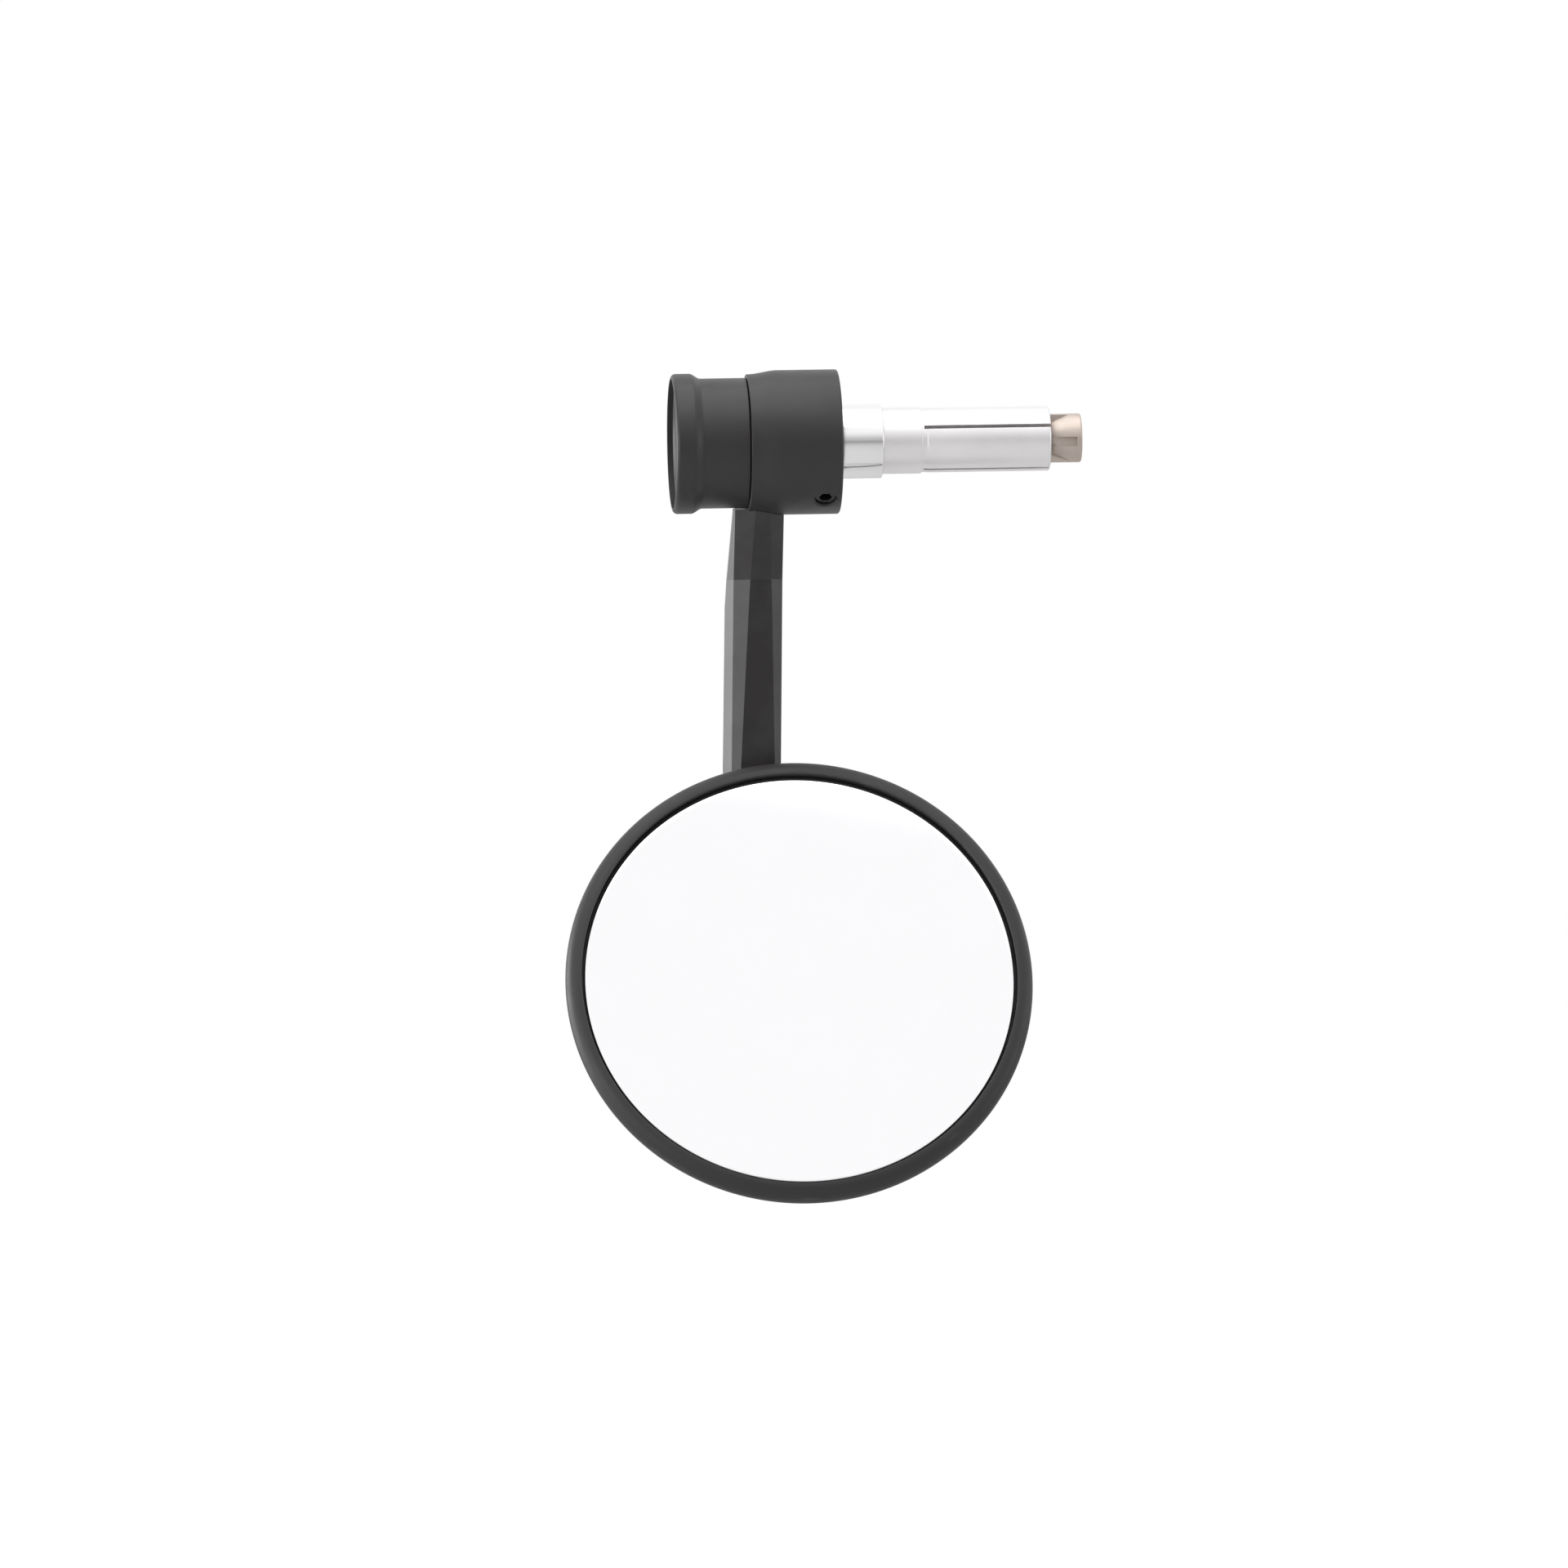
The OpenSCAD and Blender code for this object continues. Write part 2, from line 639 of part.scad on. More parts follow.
module mirror_glass() {
    rings = span(0, glass_r - 0.4, 10);
    color([0.93, 0.94, 0.96]) on_head() rotate_extrude() polygon(concat(
        [for (r = rings) [r, glass_ahead + bulge(r)]],
        [[glass_r, glass_ahead - 0.4], [glass_r, glass_back]],
        [for (i = [len(rings) - 1 : -1 : 0]) [rings[i], glass_back + bulge(rings[i])]]));
}

module glass_gasket() {
    side_r = recess_r - seat_gap;
    color([0.06, 0.06, 0.06]) on_head() rotate_extrude() polygon([
        [ledge_r, ledge_z + face_gap], [side_r, ledge_z + face_gap], [side_r, glass_ahead - 0.3],
        [glass_r + seat_gap, glass_ahead - 0.3], [glass_r + seat_gap, glass_back - face_gap],
        [ledge_r, glass_back - face_gap]]);
}

module glass_pad() {
    pad_r = ledge_r - 1;
    rings = span(0, pad_r, 8);
    color([0.12, 0.12, 0.12]) on_head() rotate_extrude() polygon(concat(
        [[0, glass_back - pad_t], [pad_r, glass_back - pad_t]],
        [for (i = [len(rings) - 1 : -1 : 0]) [rings[i], glass_back + bulge(rings[i]) - face_gap]]));
}

module clamp_plate() {
    color([0.5, 0.51, 0.52]) on_head() difference() {
        translate([0, 0, plate_z0]) cylinder(r = plate_r, h = plate_z1 - plate_z0);
        sphere(r = socket_r);
        at_plate_screws() translate([0, 0, plate_z0 - cut])
            cylinder(r = plate_screw_r + seat_gap, h = plate_t + 2 * cut);
    }
}

module plate_screws() {
    color([0.28, 0.28, 0.29]) on_head() at_plate_screws() difference() {
        union() {
            translate([0, 0, plate_screw_tip])
                cylinder(r = plate_screw_r, h = plate_z1 - plate_screw_tip + cut);
            translate([0, 0, plate_z1 + face_gap])
                cylinder(r = plate_screw_head_r, h = plate_screw_head_h);
        }
        translate([0, 0, plate_z1 + face_gap + plate_screw_head_h - 1]) hexagon(2, 1 + cut);
    }
}

end_weight();
face_disc();
bolt_washer();
lock_washer();
spacer_collar();
expander_sleeve();
draw_bolt();
expander_cone();
clamp_ring();
grub_screw();
stem();
stem_screw();
stem_dowel();
ball_stud();
stud_washer();
stud_nut();
rear_cup();
front_cup();
head_shell();
mirror_glass();
glass_gasket();
glass_pad();
clamp_plate();
plate_screws();
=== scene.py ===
"""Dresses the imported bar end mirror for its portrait.

A turned black end weight and clamp ring, a bright expanding plug, a faceted stem and a round
convex mirror on a ball joint. All sizes are in millimetres, as in the part's source, and are
turned into metres where a mesh is made.
"""

import json
import logging
import math
from dataclasses import dataclass, field
from enum import Enum

import bmesh
import bpy
from mathutils import Matrix, Vector

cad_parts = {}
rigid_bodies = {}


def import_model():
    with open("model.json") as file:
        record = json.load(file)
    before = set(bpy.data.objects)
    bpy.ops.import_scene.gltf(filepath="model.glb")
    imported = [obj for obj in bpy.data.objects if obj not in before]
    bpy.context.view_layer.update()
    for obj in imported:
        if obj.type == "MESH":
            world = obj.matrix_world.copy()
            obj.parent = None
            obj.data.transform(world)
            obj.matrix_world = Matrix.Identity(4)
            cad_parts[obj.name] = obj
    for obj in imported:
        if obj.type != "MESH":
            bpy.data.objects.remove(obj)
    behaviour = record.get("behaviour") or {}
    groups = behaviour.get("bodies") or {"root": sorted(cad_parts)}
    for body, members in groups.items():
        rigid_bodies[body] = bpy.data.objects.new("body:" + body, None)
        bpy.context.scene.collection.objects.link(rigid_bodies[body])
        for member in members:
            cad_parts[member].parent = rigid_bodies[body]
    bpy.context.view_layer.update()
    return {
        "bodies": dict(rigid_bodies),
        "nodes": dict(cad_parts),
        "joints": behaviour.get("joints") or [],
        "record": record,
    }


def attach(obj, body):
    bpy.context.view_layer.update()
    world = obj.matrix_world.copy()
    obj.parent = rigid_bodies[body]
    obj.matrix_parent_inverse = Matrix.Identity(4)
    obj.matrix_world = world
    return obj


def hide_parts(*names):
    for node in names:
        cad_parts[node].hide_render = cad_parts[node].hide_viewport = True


LOG = logging.getLogger("bar_end_mirror")
MM = 0.001
SEGMENTS = 192
SHARP = math.radians(28)
MERGE = 2e-6
FLAT = math.radians(0.6)

Point = tuple[float, float]
Span = tuple[float, float]
Colour = tuple[float, float, float]
Place = tuple[float, float, float]
BALL: Place = (-21.8, -12.5, -122.6)
Frame = dict[str, object]
Node = bpy.types.Node
Socket = bpy.types.NodeSocket
Group = bpy.types.NodeTree
Material = bpy.types.Material
Piece = bpy.types.Object


class Body(Enum):
    """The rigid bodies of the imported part."""

    MOUNT = "mount"
    DRAW_BOLT = "draw_bolt"
    CONE = "cone"
    ARM = "arm"
    REAR_CUP = "rear_cup"
    FRONT_CUP = "front_cup"
    HEAD = "head"


class Cut(Enum):
    """What a boolean does with its tool."""

    AWAY = "DIFFERENCE"
    JOIN = "UNION"


# Node trees


class Tree:
    """A node tree to which nodes are added and linked by name."""

    def __init__(self, tree: bpy.types.NodeTree) -> None:
        """Start from an empty tree."""
        self.tree = tree
        tree.nodes.clear()

    def add(self, kind: str, inputs: dict | None = None, **settings: object) -> Node:
        """Add a node.

        Args:
            kind: the node's type name.
            inputs: socket name or number to a value or to another node's output.
            settings: attributes of the node.

        Returns:
            The new node.
        """
        node = self.tree.nodes.new(kind)
        for name, value in settings.items():
            setattr(node, name, value)
        for key, value in (inputs or {}).items():
            if isinstance(value, Socket):
                self.tree.links.new(value, node.inputs[key])
            else:
                node.inputs[key].default_value = value
        return node

    def maths(self, operation: str, first: object, second: object = 0.0) -> Socket:
        """Add a maths node and return its result."""
        return self.add("ShaderNodeMath", {0: first, 1: second}, operation=operation).outputs[0]

    def ramp(self, value: object, span: Span, result: Span = (0.0, 1.0),
             smooth: bool = False) -> Socket:
        """Map a value from one span to another.

        Args:
            value: the value or its socket.
            span: values that give the ends of the result.
            result: values at the two ends.
            smooth: whether the ends are eased.

        Returns:
            The socket of the result.
        """
        return self.add("ShaderNodeMapRange", {
            0: value, 1: span[0], 2: span[1], 3: result[0], 4: result[1]},
            interpolation_type="SMOOTHSTEP" if smooth else "LINEAR").outputs[0]

    def mix(self, share: object, first: object, second: object) -> Socket:
        """Mix two colours and return the result."""
        return self.add("ShaderNodeMix", {0: share, 6: first, 7: second},
                        data_type="RGBA").outputs[2]


def shape_tree(name: str, sockets: dict[str, tuple[str, object]]) -> tuple[Tree, Node]:
    """Start a Geometry Nodes tree with named inputs.

    Args:
        name: name of the tree.
        sockets: input name to socket type and default value.

    Returns:
        The tree and its input node.
    """
    group = bpy.data.node_groups.new(name, "GeometryNodeTree")
    face = group.interface
    face.new_socket("Geometry", in_out="OUTPUT", socket_type="NodeSocketGeometry")
    for label, (kind, value) in sockets.items():
        socket = face.new_socket(label, in_out="INPUT", socket_type=kind)
        if value is not None:
            socket.default_value = value
    tree = Tree(group)
    return tree, tree.add("NodeGroupInput")


def close_shape_tree(tree: Tree, shape: Socket, material: Socket) -> None:
    """End a tree in Realize Instances, Set Material and its output.

    Args:
        tree: the tree to end.
        shape: the geometry that it made.
        material: the socket that carries the material.
    """
    real = tree.add("GeometryNodeRealizeInstances", {0: shape}).outputs[0]
    dressed = tree.add("GeometryNodeSetMaterial", {
        "Geometry": real, "Material": material}).outputs[0]
    tree.add("NodeGroupOutput", {0: dressed})


def ring_of_copies_tree() -> Group:
    """Tree that repeats one piece evenly about the X axis.

    Returns:
        The tree.
    """
    tree, given = shape_tree("Ring of copies", {
        "Geometry": ("NodeSocketGeometry", None), "Count": ("NodeSocketInt", 4),
        "First angle": ("NodeSocketFloat", 0.0), "Material": ("NodeSocketMaterial", None)})
    points = tree.add("GeometryNodePoints", {"Count": given.outputs["Count"]}).outputs[0]
    step = tree.maths("DIVIDE", math.tau, given.outputs["Count"])
    place = tree.maths("MULTIPLY", tree.add("GeometryNodeInputIndex").outputs[0], step)
    angle = tree.maths("ADD", place, given.outputs["First angle"])
    turn = tree.add("ShaderNodeCombineXYZ", {"X": angle}).outputs[0]
    turned = tree.add("FunctionNodeEulerToRotation", {0: turn}).outputs[0]
    copies = tree.add("GeometryNodeInstanceOnPoints", {
        "Points": points, "Instance": given.outputs["Geometry"], "Rotation": turned}).outputs[0]
    close_shape_tree(tree, copies, given.outputs["Material"])
    return tree.tree


def thread_tree() -> Group:
    """Tree that winds a screw thread about the Z axis, upwards from the origin.

    Returns:
        The tree.
    """
    tree, given = shape_tree("Screw thread", {
        "Root radius": ("NodeSocketFloat", 0.002), "Depth": ("NodeSocketFloat", 0.0005),
        "Pitch": ("NodeSocketFloat", 0.001), "Length": ("NodeSocketFloat", 0.01),
        "Material": ("NodeSocketMaterial", None)})
    turns = tree.maths("DIVIDE", given.outputs["Length"], given.outputs["Pitch"])
    root = given.outputs["Root radius"]
    helix = tree.add("GeometryNodeCurveSpiral", {
        "Resolution": 40, "Rotations": turns, "Start Radius": root, "End Radius": root,
        "Height": given.outputs["Length"]}).outputs[0]
    upright = tree.add("GeometryNodeSetCurveNormal", {"Curve": helix}, mode="Z_UP").outputs[0]
    section = tree.add("GeometryNodeCurvePrimitiveCircle", {
        "Resolution": 4, "Radius": given.outputs["Depth"]}).outputs[0]
    ridge = tree.add("GeometryNodeCurveToMesh", {
        "Curve": upright, "Profile Curve": section, "Fill Caps": True}).outputs[0]
    close_shape_tree(tree, ridge, given.outputs["Material"])
    return tree.tree


def convex_glass_tree() -> Group:
    """Tree that makes the face of a round convex glass, with its edge at height zero.

    Returns:
        The tree.
    """
    tree, given = shape_tree("Convex glass", {
        "Radius": ("NodeSocketFloat", 0.05), "Curvature": ("NodeSocketFloat", 1.2),
        "Rings": ("NodeSocketInt", 40), "Segments": ("NodeSocketInt", 192),
        "Material": ("NodeSocketMaterial", None)})
    grid = tree.add("GeometryNodeMeshGrid", {
        "Size X": 1.0, "Size Y": 1.0,
        "Vertices X": tree.maths("ADD", given.outputs["Rings"], 1.0),
        "Vertices Y": tree.maths("ADD", given.outputs["Segments"], 1.0)}).outputs[0]
    place = tree.add("ShaderNodeSeparateXYZ", {
        0: tree.add("GeometryNodeInputPosition").outputs[0]})
    curve = given.outputs["Curvature"]
    edge = given.outputs["Radius"]
    radius = tree.maths("MULTIPLY", tree.maths("ADD", place.outputs[0], 0.5), edge)
    angle = tree.maths("MULTIPLY", place.outputs[1], math.tau)
    square = tree.maths("MULTIPLY", curve, curve)
    here, rim = (tree.maths("SQRT", tree.maths("SUBTRACT", square, tree.maths("MULTIPLY", r, r)))
                 for r in (radius, edge))
    height = tree.maths("SUBTRACT", here, rim)
    spot = tree.add("ShaderNodeCombineXYZ", {
        "X": tree.maths("MULTIPLY", radius, tree.maths("COSINE", angle)),
        "Y": tree.maths("MULTIPLY", radius, tree.maths("SINE", angle)), "Z": height}).outputs[0]
    bent = tree.add("GeometryNodeSetPosition", {"Geometry": grid, "Position": spot}).outputs[0]
    closed = tree.add("GeometryNodeMergeByDistance", {
        "Geometry": bent, "Distance": MERGE / 2}).outputs[0]
    close_shape_tree(tree, closed, given.outputs["Material"])
    return tree.tree


# Mesh helpers


def arc(centre: Point, radius: float, start: float, end: float, steps: int) -> list[Point]:
    """Make an arc.

    Args:
        centre: its centre, as (radius, height).
        radius: its radius.
        start: angle of its first point, in degrees.
        end: angle of its last point, in degrees.
        steps: number of its parts.

    Returns:
        Its points.
    """
    angles = [math.radians(start + (end - start) * i / steps) for i in range(steps + 1)]
    return [(centre[0] + radius * math.cos(a), centre[1] + radius * math.sin(a)) for a in angles]


def blend(start: Point, end: Point, steps: int) -> list[Point]:
    """Join two points by a smooth S.

    Args:
        start: first point, as (radius, height).
        end: last point.
        steps: number of parts.

    Returns:
        The points, with both ends.
    """
    shares = [i / steps for i in range(steps + 1)]
    return [(start[0] + (end[0] - start[0]) * s * s * (3 - 2 * s),
             start[1] + (end[1] - start[1]) * s) for s in shares]


def finished_object(name: str, shape: bmesh.types.BMesh) -> Piece:
    """Turn a bmesh into an object of the scene, with smooth faces and sharp creases.

    Args:
        name: name of the piece.
        shape: the mesh, which is freed.

    Returns:
        The new object.
    """
    bmesh.ops.recalc_face_normals(shape, faces=shape.faces)
    mesh = bpy.data.meshes.new(name)
    shape.to_mesh(mesh)
    shape.free()
    piece = bpy.data.objects.new(name, mesh)
    bpy.context.scene.collection.objects.link(piece)
    soften(piece)
    return piece


def soften(piece: Piece) -> None:
    """Shade a piece smooth, with its real creases kept sharp.

    Args:
        piece: the piece to shade.
    """
    piece.data.polygons.foreach_set("use_smooth", [True] * len(piece.data.polygons))
    piece.data.set_sharp_from_angle(angle=SHARP)
    piece.data.update()


def turning(name: str, outline: list[Point], place: Matrix, bored: bool = False) -> Piece:
    """Turn an outline about its axis, as on a lathe.

    Args:
        name: name of the piece.
        outline: (radius, height) points in millimetres, in order round the section.
        place: matrix that puts the lathe's Z axis into the frame, in metres.
        bored: whether the section is a closed loop that leaves the axis open.

    Returns:
        The turned piece.
    """
    shape = bmesh.new()
    rings = []
    for radius, height in outline:
        angles = [0.0] if radius < 1e-6 else [math.tau * i / SEGMENTS for i in range(SEGMENTS)]
        spots = [Vector((radius * math.cos(a), radius * math.sin(a), height)) for a in angles]
        rings.append([shape.verts.new(place @ (spot * MM)) for spot in spots])
    pairs = list(zip(rings, rings[1:]))
    if bored:
        pairs.append((rings[-1], rings[0]))
    for low, high in pairs:
        for i in range(SEGMENTS):
            j = (i + 1) % SEGMENTS
            face = dict.fromkeys([
                low[i % len(low)], low[j % len(low)], high[j % len(high)], high[i % len(high)]])
            if len(face) > 2:
                shape.faces.new(list(face))
    return finished_object(name, shape)


def block(name: str, low: Place, high: Place) -> Piece:
    """Make a box, such as a cutter or a rib's blank.

    Args:
        name: name of the box.
        low: its lowest corner in millimetres.
        high: its highest corner.

    Returns:
        The box.
    """
    shape = bmesh.new()
    bmesh.ops.create_cube(shape, size=1.0)
    for vert in shape.verts:
        vert.co = Vector([
            (low[k] + (high[k] - low[k]) * (vert.co[k] + 0.5)) * MM for k in range(3)])
    return finished_object(name, shape)


def settle(piece: Piece) -> None:
    """Apply every modifier of a piece to its mesh.

    Args:
        piece: the piece, which keeps none of them.
    """
    bpy.context.view_layer.update()
    graph = bpy.context.evaluated_depsgraph_get()
    mesh = bpy.data.meshes.new_from_object(
        piece.evaluated_get(graph), preserve_all_data_layers=True, depsgraph=graph)
    old = piece.data
    piece.modifiers.clear()
    piece.data = mesh
    bpy.data.meshes.remove(old)


def grow(piece: Piece, tree: Group, values: dict[str, object]) -> None:
    """Run a Geometry Nodes tree on a piece and keep the result as its mesh.

    Args:
        piece: the piece that carries the tree.
        tree: the tree.
        values: input name to value.
    """
    modifier = piece.modifiers.new("Shape", "NODES")
    modifier.node_group = tree
    names = {s.name: s.identifier for s in tree.interface.items_tree if s.in_out == "INPUT"}
    for name, value in values.items():
        modifier[names[name]] = value
    settle(piece)


def empty_piece(name: str) -> Piece:
    """Make a piece with no faces yet, for a tree to fill."""
    return finished_object(name, bmesh.new())


def combine(piece: Piece, tool: Piece, cut: Cut) -> None:
    """Cut a tool out of a piece, or join it on, and remove the tool.

    Args:
        piece: the piece to change.
        tool: the other shape.
        cut: what to do with it.
    """
    modifier = piece.modifiers.new("Cut", "BOOLEAN")
    modifier.operation = cut.value
    modifier.solver = "EXACT"
    modifier.use_self = True
    modifier.object = tool
    settle(piece)
    bpy.data.objects.remove(tool, do_unlink=True)


def round_edges(piece: Piece, width: float, angle: float, steps: int = 2) -> None:
    """Round the creases of a piece.

    Args:
        piece: the piece.
        width: width of the rounding in millimetres.
        angle: least angle of a crease, in degrees.
        steps: faces across the rounding.
    """
    modifier = piece.modifiers.new("Round", "BEVEL")
    modifier.width = width * MM
    modifier.segments = steps
    modifier.limit_method = "ANGLE"
    modifier.angle_limit = math.radians(angle)
    modifier.use_clamp_overlap = True
    modifier.harden_normals = False
    settle(piece)
    soften(piece)


def copy_of_node(frame: Frame, node: str, name: str) -> Piece:
    """Copy a CAD node's mesh into a new piece, merged, with flat faces whole again.

    Args:
        node: name of the node.
        name: name of the piece.

    Returns:
        The new piece.
    """
    shape = bmesh.new()
    shape.from_mesh(frame["nodes"][node].data)
    bmesh.ops.remove_doubles(shape, verts=shape.verts, dist=MERGE)
    bmesh.ops.dissolve_limit(shape, angle_limit=FLAT, verts=shape.verts, edges=shape.edges)
    return finished_object(name, shape)


def along_bar() -> Matrix:
    """Matrix that lays the lathe's axis along the bar."""
    return Matrix.Rotation(math.pi / 2, 4, "Y")


# Finishes


@dataclass(frozen=True)
class Finish:
    """A finish with fine grain, cloudy tone and lighter worn edges.

    Depths are in millimetres and scales are in repeats a millimetre. A span holds the values of
    a noise, or of the edges' sharpness, at which a change begins and is full. Specks, patches
    and smears say how much finer each is than the grain or the clouds.
    """

    name: str
    colour: Colour
    metallic: float
    roughness: float
    grain: float = 6.0
    grain_depth: float = 0.004
    clouds: float = 0.08
    cloud_tone: float = 0.12
    wear: float = 0.15
    specular: float = 0.5
    worn_tone: float = 0.6
    speck_share: float = 0.35
    smear: float = 0.12
    tone_span: Span = (0.35, 0.65)
    edge_span: Span = (0.53, 0.62)
    wear_span: Span = (0.4, 0.7)
    smear_span: Span = (0.3, 0.7)
    specks: float = 0.7
    patches: float = 6.0
    smears: float = 2.5

    def noise(self, tree: Tree, spot: object, scale: float, detail: float = 3.0) -> Socket:
        """Add a noise of some repeats a millimetre and return its value."""
        return tree.add("ShaderNodeTexNoise", {
            "Vector": spot, "Scale": scale / MM, "Detail": detail, "Roughness": 0.6}).outputs[0]

    def tone(self, tree: Tree, spot: Socket) -> Socket:
        """Colour with clouds, specks and lighter edges.

        Args:
            tree: the material's tree.
            spot: the object coordinates.

        Returns:
            The socket of the colour.
        """
        dark = tuple(c * (1 - self.cloud_tone) for c in self.colour)
        light = tuple(min(1.0, c * (1 + self.cloud_tone)) for c in self.colour)
        worn = tuple(min(1.0, c + self.worn_tone * (1 - c) * self.wear) for c in self.colour)
        cloud = tree.maths("MULTIPLY", self.noise(tree, spot, self.clouds), 1 - self.speck_share)
        speck = tree.maths("MULTIPLY", self.noise(tree, spot, self.grain * self.specks, 1.0),
                           self.speck_share)
        share = tree.ramp(tree.maths("ADD", cloud, speck), self.tone_span)
        base = tree.mix(share, (*dark, 1), (*light, 1))
        edge = tree.add("ShaderNodeNewGeometry").outputs["Pointiness"]
        patch = self.noise(tree, spot, self.clouds * self.patches)
        worn_share = tree.maths("MULTIPLY", tree.ramp(edge, self.edge_span),
                                tree.ramp(patch, self.wear_span))
        return tree.mix(worn_share, base, (*worn, 1))

    def polish(self, tree: Tree, spot: Socket) -> Socket:
        """Roughness, with smears that are a little smoother or rougher.

        Args:
            tree: the material's tree.
            spot: the object coordinates.

        Returns:
            The socket of the roughness.
        """
        smear = self.noise(tree, spot, self.clouds * self.smears)
        return tree.ramp(smear, self.smear_span, (
            self.roughness * (1 - self.smear), min(1.0, self.roughness * (1 + self.smear))))

    def relief(self, tree: Tree, spot: Socket) -> Socket:
        """Height of the surface, from 0 to 1."""
        return self.noise(tree, spot, self.grain, 2.0)

    def material(self) -> Material:
        """Make the material.

        Returns:
            The new material.
        """
        made = bpy.data.materials.new(self.name)
        made.use_nodes = True
        tree = Tree(made.node_tree)
        spot = tree.add("ShaderNodeTexCoord").outputs["Object"]
        bump = tree.add("ShaderNodeBump", {
            "Strength": 1.0, "Distance": self.grain_depth * MM,
            "Height": self.relief(tree, spot)}).outputs[0]
        shader = tree.add("ShaderNodeBsdfPrincipled", {
            "Base Color": self.tone(tree, spot), "Metallic": self.metallic,
            "Roughness": self.polish(tree, spot), "Normal": bump,
            "Specular IOR Level": self.specular}).outputs[0]
        tree.add("ShaderNodeOutputMaterial", {0: shader})
        return made


@dataclass(frozen=True)
class TurnedFinish(Finish):
    """A finish with the fine rings that a lathe leaves round the bar axis."""

    rings: float = 5.0
    ring_share: float = 0.6

    def relief(self, tree: Tree, spot: Socket) -> Socket:
        """Height of the rings and the grain together.

        Args:
            tree: the material's tree.
            spot: the object coordinates.

        Returns:
            The socket of the height.
        """
        place = tree.add("ShaderNodeSeparateXYZ", {0: spot})
        across = tree.maths("SQRT", tree.maths(
            "ADD", tree.maths("MULTIPLY", place.outputs[1], place.outputs[1]),
            tree.maths("MULTIPLY", place.outputs[2], place.outputs[2])))
        section = tree.add("ShaderNodeCombineXYZ", {0: place.outputs[0], 1: across}).outputs[0]
        ring = self.noise(tree, section, self.rings, 3.0)
        grain = self.noise(tree, spot, self.grain, 2.0)
        return tree.maths("ADD", tree.maths("MULTIPLY", ring, self.ring_share),
                          tree.maths("MULTIPLY", grain, 1 - self.ring_share))


@dataclass(frozen=True)
class MirrorFinish(Finish):
    """A silvered glass, nearly free of grain."""

    waves: float = 0.02

    def relief(self, tree: Tree, spot: Socket) -> Socket:
        """Height of the faint waves of float glass."""
        return self.noise(tree, spot, self.waves, 1.0)


def once(finish: Finish) -> Material:
    """Dataclass field that holds the material of a finish."""
    return field(default_factory=finish.material)


@dataclass
class Finishes:
    """Every material of the mirror, made once."""

    black_matt: Material = once(TurnedFinish(
        "black_matt", (0.0215, 0.0192, 0.0213), 0.0, 0.43, grain=9.0, grain_depth=0.004,
        clouds=0.05, cloud_tone=0.06, wear=0.04, specular=0.56))
    black_satin: Material = once(Finish(
        "black_satin", (0.0195, 0.0168, 0.0178), 0.0, 0.31, grain=11.0, grain_depth=0.003,
        clouds=0.015, cloud_tone=0.04, wear=0.03))
    black_shell: Material = once(Finish(
        "black_shell", (0.0222, 0.0208, 0.0224), 0.0, 0.48, grain=8.0, grain_depth=0.005,
        clouds=0.03, cloud_tone=0.06, wear=0.04))
    black_steel: Material = once(Finish("black_steel", (0.05, 0.05, 0.053), 0.9, 0.24))
    zinc_steel: Material = once(Finish("zinc_steel", (0.62, 0.63, 0.65), 1.0, 0.32, wear=0.05))
    bright_steel: Material = once(Finish("bright_steel", (0.6, 0.6, 0.62), 1.0, 0.2, wear=0.05))
    plate_steel: Material = once(Finish("plate_steel", (0.5, 0.5, 0.52), 1.0, 0.4, wear=0.05))
    polished_alloy: Material = once(TurnedFinish(
        "polished_alloy", (0.94, 0.935, 0.94), 1.0, 0.14, grain_depth=0.001, cloud_tone=0.02,
        wear=0.0, rings=9.0))
    satin_alloy: Material = once(TurnedFinish(
        "satin_alloy", (0.9, 0.88, 0.89), 0.68, 0.36, grain_depth=0.002, cloud_tone=0.03,
        wear=0.0, rings=7.0))
    bronze: Material = once(TurnedFinish(
        "bronze", (0.56, 0.485, 0.435), 0.85, 0.46, grain_depth=0.004, cloud_tone=0.06, wear=0.1))
    mirror_glass: Material = once(MirrorFinish(
        "mirror_glass", (0.965, 0.955, 0.97), 1.0, 0.03, grain_depth=0.0003, cloud_tone=0.004,
        wear=0.0))
    gasket_rubber: Material = once(Finish(
        "gasket_rubber", (0.012, 0.012, 0.012), 0.0, 0.7, wear=0.0))
    foam_pad: Material = once(Finish(
        "foam_pad", (0.05, 0.05, 0.05), 0.0, 0.9, grain=3.0, grain_depth=0.05, wear=0.0))
    cup_plastic: Material = once(Finish("cup_plastic", (0.8, 0.8, 0.77), 0.0, 0.45, wear=0.0))


def put_on(piece: Piece, material: Material, body: Body, slot: str, *nodes: str) -> Piece:
    """Dress a piece, set it on its body and say what it stands for.

    Args:
        piece: the finished piece.
        material: its finish.
        body: the body that it rides on.
        slot: the record's material slot; not used.
        nodes: the CAD nodes that it replaces.

    Returns:
        The piece.
    """
    piece.data.materials.clear()
    piece.data.materials.append(material)
    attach(piece, body.value)
    if nodes:
        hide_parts(*nodes)
    LOG.info("%s: %d faces, on %s, for %s", piece.name, len(piece.data.polygons), body.value,
             ", ".join(nodes) or "nothing")
    return piece


def dress_node(frame: Frame, node: str, material: Material) -> None:
    """Give a CAD node that stays a finish.

    Args:
        node: name of the node.
        material: its finish.
    """
    for slot in frame["nodes"][node].material_slots:
        slot.material = material
    LOG.info("%s: kept from the frame", node)


# Sub-assemblies


